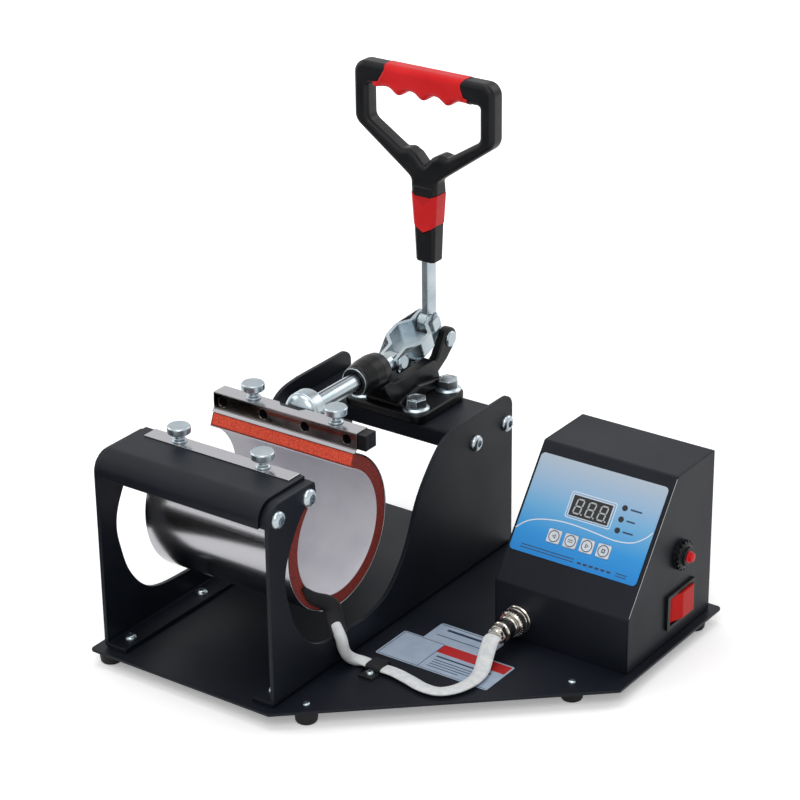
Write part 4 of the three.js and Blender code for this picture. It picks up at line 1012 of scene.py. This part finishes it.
clamp = {
    "bottom": 102, "flange": 108.6, "half": 33, "front": 214.5, "back": 272.5, "round": 8,
    "block": [(224, 108), (209, 119, 5), (203, 128, 3), (203, 131.2), (212.4, 131.2, 0.8),
              (214, 129, 1), (264, 128.6, 4), (271, 108, 2)],
    "foot": [(219, 108), (216, 114, 3), (240, 119, 4), (269, 114, 4), (271, 108)],
    "barrel": [(6.4, 186.5), (6.6, 185.2), (9.2, 185, 0.4), (10, 185.8, 0.5), (10, 187.4, 0.4),
               (10.6, 188.6, 0.6), (12, 197, 4), (12.3, 206, 4), (11.4, 213.2, 1.2),
               (6.4, 213.5)],
    # lip: a thin bright ring on the barrel's front chamfer, a painted highlight
    "lip": [(9.0, 185.2), (9.2, 184.8), (9.7, 184.95), (9.8, 185.3), (9.0, 185.2)],
}
clampBolts = {
    "front_left": (-22, 225.6), "front_right": (22, 225.6), "rear_left": (-22, 264),
    "rear_right": (22, 264),
}


def makeClampBody():
    half, at = clamp["half"], (0, 0, plunger["z"])
    flange = prism(softBox((-half, clamp["front"]), (half, clamp["back"]), clamp["round"], 8), "z",
                   clamp["bottom"], clamp["flange"], 1.4, 3)
    block = prism(softLine(clamp["block"], 6), "x", -12.2, 12.2, 2.2, 4)
    foot = prism(softLine(clamp["foot"], 5), "x", -15.5, 15.5, 2.4, 4)
    barrel = spun(softLine(clamp["barrel"], 4, False), "y", at, 64)
    earLine = ([(256, 123), (267.2, 129.4)] + arcLine(pivot, 8, 150, -45, 18)
               + [(278, 124), (266, 117), (252, 109)])
    ears = paired(prism(earLine, "x", 5.2, 12, 1.3, 3, sharper=40))
    finishPiece("clampBody", joined(flange, block, foot, barrel, *ears), "black_cast_iron",
                ["clamp_body"], smooth=45)
    # The thin bright ring on the barrel's front chamfer is a painted highlight
    finishPiece("sleeveLip", spun(clamp["lip"], "y", at, 64), "zinc_plate")


makeClampBody()


def flangeBolt(x, y):
    disc = spun(softLine([(0, 0), (9.4, 0), (9.4, 1.1, 0.5), (7.6, 2.3, 0.8), (0, 2.3)], 4, False),
                "z", (0, 0, 0), 48)
    head = prism(hexLine((0, 0), 13.4, 8), "z", 1.8, 8.4, 0.7, 3)
    dish = spun([(5.3, 8.4), (5.0, 8.55), (4.5, 8.2), (0, 7.9)], "z", (0, 0, 0.05), 32)
    return placed(joined(disc, head, dish), Matrix.Translation((x, y, clamp["flange"])))


for name, place in clampBolts.items():
    finishPiece("clampBolt" + titled(name), flangeBolt(*place), "zinc_plate",
                ["clamp_bolt_" + name])


def makeHandlePin():
    at = (0, *pivot)
    shank = spun([(0, -12.4), (3, -12.4), (3, 12.4), (0, 12.4)], "x", at, 32)
    capLine = softLine([(0, 12.1), (5.6, 12.1), (5.6, 12.9, 0.4), (4.6, 13.7, 0.6), (0, 13.8)], 3,
                       False)
    caps = paired(spun(capLine, "x", at, 40))
    finishPiece("handlePin", joined(shank, *caps), "zinc_plate", ["handle_pin"])


makeHandlePin()

link = {  # a pressed channel whose walls bulge outwards in plan, from plunger to lever
    "long": 42.2, "thick": 2.5, "high": 6,
    "wall": [(5.0, -6), (5.0, 8.5, 2), (12.5, 15.5, 2.5), (12.5, 27, 2.5), (5.0, 34, 2),
             (5.0, 47)],
    "floor": [(-6, 7.5, 2), (6, 7.5, 2), (13.4, 15.5, 2), (13.4, 27, 2), (6, 35, 2), (-6, 35, 2),
              (-13.4, 27, 2), (-13.4, 15.5, 2)],
    "boss": [(0, 7.2), (6.0, 7.2), (6.0, 8.6, 0.8), (4.2, 9.8, 0.8), (0, 9.9)],
}


def makeLink():
    wallLine = ribbonLine(softLine(link["wall"], 5, False), -link["thick"])
    walls = paired(prism(wallLine, "z", -link["high"], link["high"], 0.6, 3, sharper=50))
    floor = prism(softLine(link["floor"], 4), "z", -5.9, -3.8, 0.5)
    trims = joined(*walls, floor)
    near, far = [spun([(0, -7.4), (2.5, -7.4), (2.5, 7.4), (0, 7.4)], "x", (0, s, 0), 24)
                 for s in (0, link["long"])]
    rounds = paired(spun(softLine(link["boss"], 4, False), "x", (0, 0, 0), 40))
    squares = paired(prism(softBox((link["long"] - 4.6, -4.6), (link["long"] + 4.6, 4.6), 1.6, 4),
                           "x", 7.2, 9.3, 0.8, 3))
    tilt = math.atan2(crank[1] - plungerPin[1], crank[0] - plungerPin[0])
    stand = Matrix.Translation((0, *plungerPin)) @ Matrix.Rotation(tilt, 4, "X")
    finishPiece("toggleLink", placed(joined(trims, near, *rounds, far, *squares), stand),
                "zinc_plate", ["toggle_link"], "link", smooth=40)


makeLink()


def stadium(first, second, radius):
    turn = math.degrees(math.atan2(second[1] - first[1], second[0] - first[0]))
    return (arcLine(first, radius, turn + 270, turn + 90, 14)
            + arcLine(second, radius, turn + 90, turn - 90, 14))


lever = {
    "half": 2.65, "foot": 6.4, "low": (268.3, 148), "high": (278.9, 208),
    "hubHalf": 4.7, "pivotHub": 6.0, "crankHub": 5.0,
}


def makeLever():
    half, deep = lever["half"], lever["hubHalf"]
    foot = prism(stadium(crank, pivot, lever["foot"]), "x", -half, half, 0.5, 2, sharper=40)
    (y0, z0), (y1, z1) = lever["low"], lever["high"]
    shank = prism([(y0, z0), (y1, z0), (y1, z1), (y0, z1)], "x", -half, half, 0.7, 3)
    hubs = [spun([(0, -deep), (r, -deep), (r + 0.4, 0.4 - deep), (r + 0.4, deep - 0.4), (r, deep),
                  (0, deep)], "x", (0, *spot), 40)
            for spot, r in ((pivot, lever["pivotHub"]), (crank, lever["crankHub"]))]
    finishPiece("leverBar", joined(foot, shank, *hubs), "zinc_plate", ["lever_bar"], "handle")


makeLever()
print("plunger, clamp, link and lever made")

# D-handle: black moulding with a red grip, a red collar and a black ferrule

handle = {  # across and up, seen from the front; thickness from front to back
    "front": 266.6, "back": 280.6, "round": 3.6, "sleeve": 274.2,
    "outline": [(10.4, 249), (10.6, 256.3, 5), (15.4, 260, 7), (56.6, 289.6, 10),
                (56.6, 332.5, 9)],
    "window": [(0, 266.2, 1.6), (6.6, 273.4, 2.5), (12.6, 276.6, 5), (19, 275.4, 4),
               (45.4, 292, 6), (45.4, 316.6, 2.2), (-45.4, 316.6, 2.2), (-45.4, 292, 6),
               (-19, 275.4, 4), (-12.6, 276.6, 5), (-6.6, 273.4, 2.5)],
}


def lofted(loops, bevel):  # closed skin over loops of equal count
    bm = bmesh.new()
    rings = [ringOf(bm, line) for line in loops]
    for end in (rings[0], rings[-1]):
        bm.faces.new([edge.verts[1] for edge in end])
    bridged(bm, rings)
    bmesh.ops.recalc_face_normals(bm, faces=bm.faces)
    bevelEdges(bm, bevel, 2, sharper=20)
    return bm


def bothSides(half):  # the right half of an outline with its mirror image
    return half + [(-x, z, *rest) for x, z, *rest in half[::-1]]


def facetLoop(half, deep, trim, z, vee=0, share=0.35):  # an octagon, its front dipping to a vee
    y = handle["sleeve"]
    dip = vee * share
    side = [(half, y - deep + trim, z), (half, y + deep - trim, z),
            (half - trim * 1.2, y + deep, z - dip)]
    other = [(-x, b, c) for x, b, c in side[::-1]]
    return side + [(0, y + deep, z - vee)] + other + [
        (-half + trim * 1.2, y - deep, z - dip), (0, y - deep, z - vee),
        (half - trim * 1.2, y - deep, z - dip)]


def makeHandle():
    ring = rounded(softLine(bothSides(handle["outline"]), 7), "y", handle["front"],
                   handle["back"], handle["round"], [softLine(handle["window"], 6)])
    neck = lofted([facetLoop(10.5, 7.2, 1.9, 247, 10.2, 0.08), facetLoop(10.5, 7.2, 2.4, 252, 3),
                   facetLoop(10.4, 6.6, 2.8, 258)], 0.4)
    finishPiece("handleFrame", joined(ring, neck), "handle_plastic", ["handle_grip"], "handle",
                smooth=50)
    ferrule = lofted([facetLoop(7.3, 5.9, 1.6, 197), facetLoop(7.7, 6.4, 1.8, 198),
                      facetLoop(8.8, 6.8, 1.9, 224.2, 6)], 0.5)
    finishPiece("handleFerrule", ferrule, "handle_plastic", (), "handle")
    sleeve = lofted([facetLoop(9.1, 7.2, 1.9, 224.5, 6),
                     facetLoop(10.7, 7.5, 2.0, 246.8, 10.2, 0.08)], 0.4)
    finishPiece("handleCollar", sleeve, "red_plastic", ["handle_collar"], "handle")


makeHandle()

grip = {
    "proud": 0.5, "round": 4.6, "level": 316.4, "lobe": 19.9, "lobeDeep": 4.4, "shift": 0.8,
    "from": -41, "to": 37.2,
    "right": [(37.0, 319.4), (34.8, 323.4), (33.4, 327.6), (32.8, 332.9)],
    "left": [(-31.4, 332.9), (-34.6, 327.6), (-38, 322), (-40.4, 318.6)],
}


def makeGrip():
    low = []
    for k in range(73):  # finger lobes along the underside, fading out at both ends
        x = grip["from"] + (grip["to"] - grip["from"]) * k / 72
        along = x + grip["shift"]
        wave = 0.5 + 0.5 * math.cos(2 * math.pi * along / grip["lobe"])
        end = 0.5 if x > 0 else 1.4
        deep = grip["lobeDeep"] if abs(along) < 1.5 * grip["lobe"] else end
        low.append((x, grip["level"] - deep * wave ** 1.4))
    shape = rounded(low + grip["right"] + grip["left"], "y", handle["front"] - grip["proud"],
                    handle["back"] + grip["proud"], grip["round"])
    finishPiece("handleGrip", shape, "red_plastic", ["grip_insert"], "handle", smooth=50)


makeGrip()
print("handle made")

# Control box

box = {
    "left": 130, "right": 231.3, "front": 160, "back": 266, "low": 0.15, "high": 117.2,
    "bend": 39, "topFront": 218.6, "wall": 1.5, "round": 2.4,
    "slab": (31.5, 44.5),  # the part of the slope that the buttons come through
    "vents": {"count": 8, "first": 148, "pitch": 9, "wide": 3, "low": 78, "high": 102},
    "inlet": ((185.7, 15.5), (214.3, 36.5)),
    "screws": [(136, 8), (225, 8), (136, 109), (225, 109)],
}
slope = math.atan2(box["high"] - box["bend"], box["topFront"] - box["front"])
onPanel = (Matrix.Translation((box["left"], box["front"], box["bend"]))
           @ Matrix.Rotation(slope, 4, "X"))

keys = {"first": 31.1, "pitch": 12.42, "row": 38, "wide": 9.8, "high": 9.2, "round": 1.1}
keySpots = [keys["first"] + keys["pitch"] * k for k in range(4)]


def keyLine(u, room=0):
    halfU, halfV = keys["wide"] / 2 + room, keys["high"] / 2 + room
    return softBox((u - halfU, keys["row"] - halfV), (u + halfU, keys["row"] + halfV),
                   keys["round"])


def keyHoles(room):  # the outlines that let the four buttons through
    return [keyLine(u, room) for u in keySpots]


def onSlope(v):
    return (box["front"] + v * math.cos(slope), box["bend"] + v * math.sin(slope))


def makeBox():
    left, right, back, wall = box["left"], box["right"], box["back"], box["wall"]
    foot = (box["front"], box["low"])
    bend = (box["front"], box["bend"], box["round"])
    crest = (box["topFront"], box["high"], box["round"])
    rear = (back, box["high"])
    slabLow, slabHigh = box["slab"]
    # the shell is bent sheet; its slope has a flat slab between two ribbons, for the key holes
    shell = [prism(ribbonLine(softLine(line, 6, False), -wall), "x", left + 0.4, right - 0.4, 0.3,
                   2, sharper=40)
             for line in ([foot, bend, onSlope(slabLow + 0.5)],
                          [onSlope(slabHigh - 0.5), crest, rear])]
    wide = right - left
    slab = prism([(0.4, slabLow), (wide - 0.4, slabLow), (wide - 0.4, slabHigh), (0.4, slabHigh)],
                 "z", 0.02 - wall, -0.01, 0, 1, keyHoles(0.3))
    side = softLine([foot, bend, crest, rear], 6, False) + [(back, box["low"])]
    walls = [prism(side, "x", x, x + wall, 0.55, 3, sharper=40) for x in (left, right - wall)]
    finishPiece("boxShell", joined(*shell, placed(slab, onPanel), *walls), "black_powder_coat",
                ["box_shell"])
    (x0, z0), (x1, z1) = box["inlet"]
    cover = prism(softBox((left + 1.7, 0.3), (right - 1.7, box["high"] - 1.8), 1), "y",
                  back - 1.5, back - 0.1, 0.3, 2, [[(x0, z0), (x1, z0), (x1, z1), (x0, z1)]])
    vents = box["vents"]
    starts = [vents["first"] + vents["pitch"] * k for k in range(vents["count"])]
    # The vents are thin dark slabs on the cover, not openings: painted shade inside the vents
    ventShadeSlabs = [prism(softBox((x, vents["low"]), (x + vents["wide"], vents["high"]), 1.4), "y",
                   back - 0.15, back + 0.02, 0) for x in starts]
    finishPiece("boxRearCover", cover, "black_powder_coat", ["box_rear_cover"])
    finishPiece("coverVents", joined(*ventShadeSlabs), "black_plastic", finish=lampBlack)
    screws = [panScrew(3, 1.8, (x, back - 0.1, z), "y") for x, z in box["screws"]]
    finishPiece("coverScrews", joined(*screws), "zinc_plate")
    # A pale grey line along the slope's right edge: a painted highlight on the edge
    seam = placed(boxed((100.75, 1.5, -0.32), (101.15, 96, 0.03), 0.1, 1), onPanel)
    finishPiece("boxSeam", seam, "zinc_plate", finish=segmentGrey)


makeBox()

film = {  # on the slope: u across, v up, in mm from the panel's low left corner
    "low": (1.9, 22.2), "high": (97.9, 89.3), "round": 3, "thick": 0.45,
    "ink": (0.43, 0.5),  # where a print starts and ends, above the slope
    "wave": [(2.2, 36.3), (8.1, 41.9), (15.7, 45.3), (26.6, 47.6), (36.6, 48.4), (46.7, 48.2),
             (57.2, 47.5), (66.1, 46.7), (73.4, 46.3), (80.3, 46.9), (84.9, 47.9), (89.1, 49.8),
             (94.5, 54.2), (97.7, 58.4)],
    "rules": [(10.2, 27.2, 50.2, 27.8), (9.6, 25.3, 50.3, 25.9), (81.7, 26.6, 89.8, 27.2),
              (81.7, 24.9, 89.7, 25.5)],
    "dashes": [(77, 68.1, 85.4, 69.2), (76.8, 60.4, 83, 61.5), (76.8, 52.9, 84.2, 54)],
    "blocks": [53 + 4.4 * k for k in range(6)],
    "lamps": [(72.7, 68.7), (72.7, 61.0), (72.7, 53.5)],
}


def flatPiece(name, bm, slot, finish, replaced=(), body="frame"):
    return finishPiece(name, placed(bm, onPanel), slot, replaced, body, finish)


def makeFilm():
    top = film["thick"]
    sheet = prism(softBox(film["low"], film["high"], film["round"]), "z", 0.02, top, 0.12, 1,
                  keyHoles(0.15))
    flatPiece("panelFilm", sheet, "panel_film", filmPrint, ["panel_overlay"])
    low, high = film["ink"]
    wave = [(p.x, p.y) for p in smoothRoute([(*place, 0) for place in film["wave"]], 1.5)]
    ribbon = prism(ribbonLine(wave, 0.75), "z", low, high, 0)
    border = prism(softBox((32.9, 52.3), (67.2, 70.3), 1.6), "z", low, high, 0, 1,
                   [softBox((33.5, 52.9), (66.6, 69.7), 1.2)])
    flatPiece("panelLines", joined(ribbon, border), "panel_film", inkWhite)
    places = film["dashes"] + film["rules"] + [(u, 25.3, u + 3, 26.7) for u in film["blocks"]]
    marks = [boxed((u0, v0, low), (u1, v1, high), 0) for u0, v0, u1, v1 in places]
    flatPiece("panelMarks", joined(*marks), "panel_film", inkNavy)
    domes = [spun([(0, 0), (2.0, 0), (1.95, 0.12), (0, 0.2)], "z", (*spot, top), 24)
             for spot in film["lamps"]]
    flatPiece("panelLamps", joined(*domes), "display_lens", lampBlack)


makeFilm()

digits = {
    "spots": (41, 50, 59), "row": 61.1, "wide": 4.9, "high": 9.6, "thick": 0.95, "lean": 0.12,
    "low": 0.62, "top": 0.68,
}


def digitShape(u, v):  # one seven-segment digit, leaning a little, with its point
    lean, thick = digits["lean"], digits["thick"]
    w, half = digits["wide"] / 2, digits["high"] / 2

    def segment(a0, b0, a1, b1):
        (x0, y0), (x1, y1) = (a0 + lean * b0, b0), (a1 + lean * b1, b1)
        along = Vector((x1 - x0, y1 - y0)).normalized()
        side = Vector((-along.y, along.x)) * thick / 2
        tip = along * thick * 0.5
        start, end = Vector((x0, y0)) + along * 0.2, Vector((x1, y1)) - along * 0.2
        line = [start, start + tip + side, end - tip + side, end, end - tip - side,
                start + tip - side]
        return prism([(u + p.x, v + p.y) for p in line], "z", digits["low"], digits["top"], 0)

    ends = [(-w, -half, w, -half), (-w, 0, w, 0), (-w, half, w, half), (-w, -half, -w, 0),
            (-w, 0, -w, half), (w, -half, w, 0), (w, 0, w, half)]
    dot = prism(circleLine((u + w + 0.9, v - half), 0.6, 14), "z", digits["low"], digits["top"], 0)
    return joined(*[segment(*places) for places in ends], dot)


def makeDisplay():
    top = film["thick"]
    rim = prism(softBox((34.7, 53.6), (65.5, 68.6), 0.6), "z", top, top + 0.6, 0.15, 1,
                [softBox((35.4, 54.2), (64.8, 68), 0.3)])
    flatPiece("displayFrame", rim, "display_lens", inkWhite, ["display_window"])
    window = prism(softBox((35.1, 53.9), (65.1, 68.3), 0.4), "z", top - 0.05, 0.6, 0.1, 1)
    flatPiece("displayWindow", window, "display_lens", smokedAcrylic)
    shapes = [digitShape(u, digits["row"]) for u in digits["spots"]]
    flatPiece("displayDigits", joined(*shapes), "display_lens", segmentGrey)


makeDisplay()

keySigns = [  # outlines about each key's middle
    [[(-1.5, 0), (1.1, 1.6), (1.1, -1.6)]],
    [[(-1.9, 0.9), (1.9, 0.9), (1.9, 0.4), (-1.9, 0.4)],
     [(-1.9, -0.4), (1.9, -0.4), (1.9, -0.9), (-1.9, -0.9)]],
    [[(1.5, 0), (-1.1, 1.6), (-1.1, -1.6)]],
    [softBox((-1.3, -1.3), (1.3, 1.3), 0.4)],
]


def makeKeys():
    z = film["thick"] + 0.49
    for k, (u, lines) in enumerate(zip(keySpots, keySigns)):
        number, v = str(k + 1), keys["row"]
        pad = prism(keyLine(u), "z", -1.2, film["thick"] + 0.5, 0.35, 3)
        flatPiece("panelKey" + number, pad, "button_film", keyFilm, ["panel_button_" + number],
                  "button_" + number)
        signs = [prism(circleLine((u, v), 4.0, 32), "z", z, z + 0.06, 0, 1,
                       [circleLine((u, v), 3.4, 32)])]
        for line in lines:
            outer = [(u + a, v + b) for a, b in line]
            hole = [] if len(lines) > 1 else [[(u + a * 0.5, v + b * 0.5) for a, b in line]]
            signs.append(prism(outer, "z", z, z + 0.06, 0, 1, hole))
        flatPiece("panelKeySign" + number, joined(*signs), "button_film", inkNavy, (),
                  "button_" + number)


makeKeys()

reset = {
    "y": 224.5, "z": 59, "teeth": 16,
    "nut": [(4.3, 0), (10.2, 0), (10.2, 1.2, 0.3), (8.9, 1.5, 0.3), (8.9, 4.0, 0.6),
            (6.6, 4.6, 0.3), (6.6, 6.8, 0.5), (4.3, 6.8)],
    "button": [(0, 2.1), (4.1, 2.1), (4.1, 7.0, 0.3), (3.2, 7.3, 0.3), (3.2, 9.7, 1.3),
               (0, 10.2)],
}


def makeReset():
    at = (box["right"], reset["y"], reset["z"])
    nut = spun(softLine(reset["nut"], 3, False), "x", at, 56)
    teeth = []
    for k in range(reset["teeth"]):
        tooth = boxed((0.1, -1.05, 8.6), (3.9, 1.05, 10.4), 0.4, 2)
        turn = Matrix.Rotation(2 * math.pi * k / reset["teeth"], 4, "X")
        teeth.append(placed(tooth, Matrix.Translation(at) @ turn))
    finishPiece("resetNut", joined(nut, *teeth), "black_plastic", ["reset_nut"])
    button = spun(softLine(reset["button"], 4, False), "x", at, 40)
    finishPiece("resetButton", button, "red_plastic", ["reset_button"], "reset_plunger")


makeReset()

rocker = {
    "y": 225, "low": 10, "high": 35, "half": 18, "bezel": 2, "deep": 9, "tilt": -9,
    "key": [(-4, -13.9), (1.4, -13.9, 0.8), (3.7, -0.2, 2.5), (1.4, 13.9, 0.8), (-4, 13.9)],
}


def makeRocker():
    x, y, low, high = box["right"], rocker["y"], rocker["low"], rocker["high"]
    rim = softBox((y - rocker["half"], low), (y + rocker["half"], high), 1.4)
    hole = softBox((y - 14.8, low + 2.5), (y + 14.8, high - 2.5), 0.6)
    sleeve = softBox((y - 15.6, low + 1.8), (y + 15.6, high - 1.8), 0.6)
    deep = x - rocker["deep"]
    shapes = [prism(rim, "x", x, x + rocker["bezel"], 0.7, 3, [hole]),
              prism(sleeve, "x", deep, x + 0.6, 0, 1, [hole]),
              prism(sleeve, "x", deep - 0.5, deep + 0.4, 0)]
    finishPiece("rockerFrame", joined(*shapes), "black_plastic", ["rocker_frame"])
    key = prism(softLine(rocker["key"], 5, False), "z", 12.95, 32.05, 0.5, 2, sharper=30)
    ribs = [boxed((1.9, -11.6 + 1.5 * k, 16), (2.15 + 0.16 * k, -10.9 + 1.5 * k, 29), 0.15, 1)
            for k in range(3)]
    stand = (Matrix.Translation((x, y, 0))
             @ Matrix.Rotation(math.radians(rocker["tilt"]), 4, "Z"))
    finishPiece("rockerKey", placed(joined(key, *ribs), stand), "red_plastic", ["rocker"],
                "power_rocker", lensRed)


makeRocker()
print("control box made")

# CAD nodes that stay get the same finishes

slotOf = {part["node"]: part["material_slot"] for part in frame["record"]["subparts"]}
for name, node in frame["nodes"].items():
    if node.hide_render:
        continue
    node.data.materials.clear()
    node.data.materials.append(slotFinish[slotOf[name]])
print("CAD nodes left showing:", sorted(n for n, o in frame["nodes"].items() if not o.hide_render))

# Light, backdrop and floor

lamps = {  # place from the press's middle and size in metres, power in watts
    "keySoftbox": ((0.9, -1.6, 1.9), 1.6, 22),
    "topSoftbox": ((-0.3, 0.1, 2.2), 1.8, 17),
    "leftSoftbox": ((-1.9, -0.5, 0.9), 1.4, 9),
    "backSoftbox": ((0.6, 1.9, 1.2), 1.4, 9),
}


def makeLamps():
    middle = (cadBounds[0] + cadBounds[1]) / 2
    for name, (place, size, power) in lamps.items():
        data = bpy.data.lights.new(name, "AREA")
        data.shape = "DISK"
        data.size = size
        data.energy = power
        lamp = bpy.data.objects.new(name, data)
        bpy.context.scene.collection.objects.link(lamp)
        lamp.location = middle + Vector(place)
        lamp.rotation_euler = (-Vector(place)).to_track_quat("-Z", "Y").to_euler()


def whiteWhereSeen(tree, dim, bright):  # plain light on the object, white behind it
    path = addNode(tree, "ShaderNodeLightPath")
    rays = [path.outputs[ray] for ray in ("Is Camera Ray", "Is Glossy Ray", "Is Transmission Ray")]
    first = addNode(tree, "ShaderNodeMath", {"operation": "MAXIMUM"}, {0: rays[0], 1: rays[1]})
    seen = addNode(tree, "ShaderNodeMath", {"operation": "MAXIMUM"},
                   {0: first.outputs["Value"], 1: rays[2]})
    level = addNode(tree, "ShaderNodeMapRange", {"To Min": dim, "To Max": bright},
                    {"Value": seen.outputs["Value"]})
    return level.outputs["Result"]


def makeWorld():
    world = bpy.data.worlds.new("studio")
    bpy.context.scene.world = world
    world.use_nodes = True
    background = world.node_tree.nodes["Background"]
    background.inputs["Color"].default_value = (1, 1, 1, 1)
    world.node_tree.links.new(whiteWhereSeen(world.node_tree, 0.3, 1.0),
                              background.inputs["Strength"])


def stageSheet(name, half, finish):  # a flat sheet at the height that the press stands on
    bm = bmesh.new()
    bmesh.ops.create_grid(bm, x_segments=1, y_segments=1, size=1)
    bmesh.ops.scale(bm, vec=(*half, 1), verts=bm.verts)
    mesh = bpy.data.meshes.new(name)
    bm.to_mesh(mesh)
    bm.free()
    mesh.materials.append(finish)
    sheet = bpy.data.objects.new(name, mesh)
    bpy.context.scene.collection.objects.link(sheet)
    sheet.location.z = cadBounds[0].z
    return sheet


def makeFloor():
    # White seamless paper: matt, and glowing a little more with distance so that it stays white
    material, tree, shader, where = newMaterial("whitePaper", "#ffffff", 0.0, 0.95)
    shader.inputs["Emission Color"].default_value = (1, 1, 1, 1)
    reach = addNode(tree, "ShaderNodeVectorMath", {"operation": "LENGTH"}, {0: where})
    far = addNode(tree, "ShaderNodeMapRange",
                  {"From Min": 0.5, "From Max": 1.6, "To Min": 1.0, "To Max": 3.4},
                  {"Value": reach.outputs["Value"]})
    glow = addNode(tree, "ShaderNodeMath", {"operation": "MULTIPLY"},
                   {0: whiteWhereSeen(tree, 0.0, 0.3), 1: far.outputs["Result"]})
    tree.links.new(glow.outputs["Value"], shader.inputs["Emission Strength"])
    stageSheet("floor", (6, 6), material)


def makeFlag():
    # Black velvet flag flat at the front left: only reflections show it
    velvet = newMaterial("blackVelvet", "#020202", 0.0, 1.0, Specular_IOR_Level=0)[0]
    flag = stageSheet("flag", (0.65, 0.6), velvet)
    flag.location += Vector((-0.86, -0.78, 0.003))
    flag.visible_camera = False
    flag.visible_diffuse = False
    flag.visible_shadow = False


bpy.context.scene.view_settings.view_transform = "Standard"
makeLamps()
makeWorld()
makeFloor()
makeFlag()
print("lamps, backdrop and floor in place")
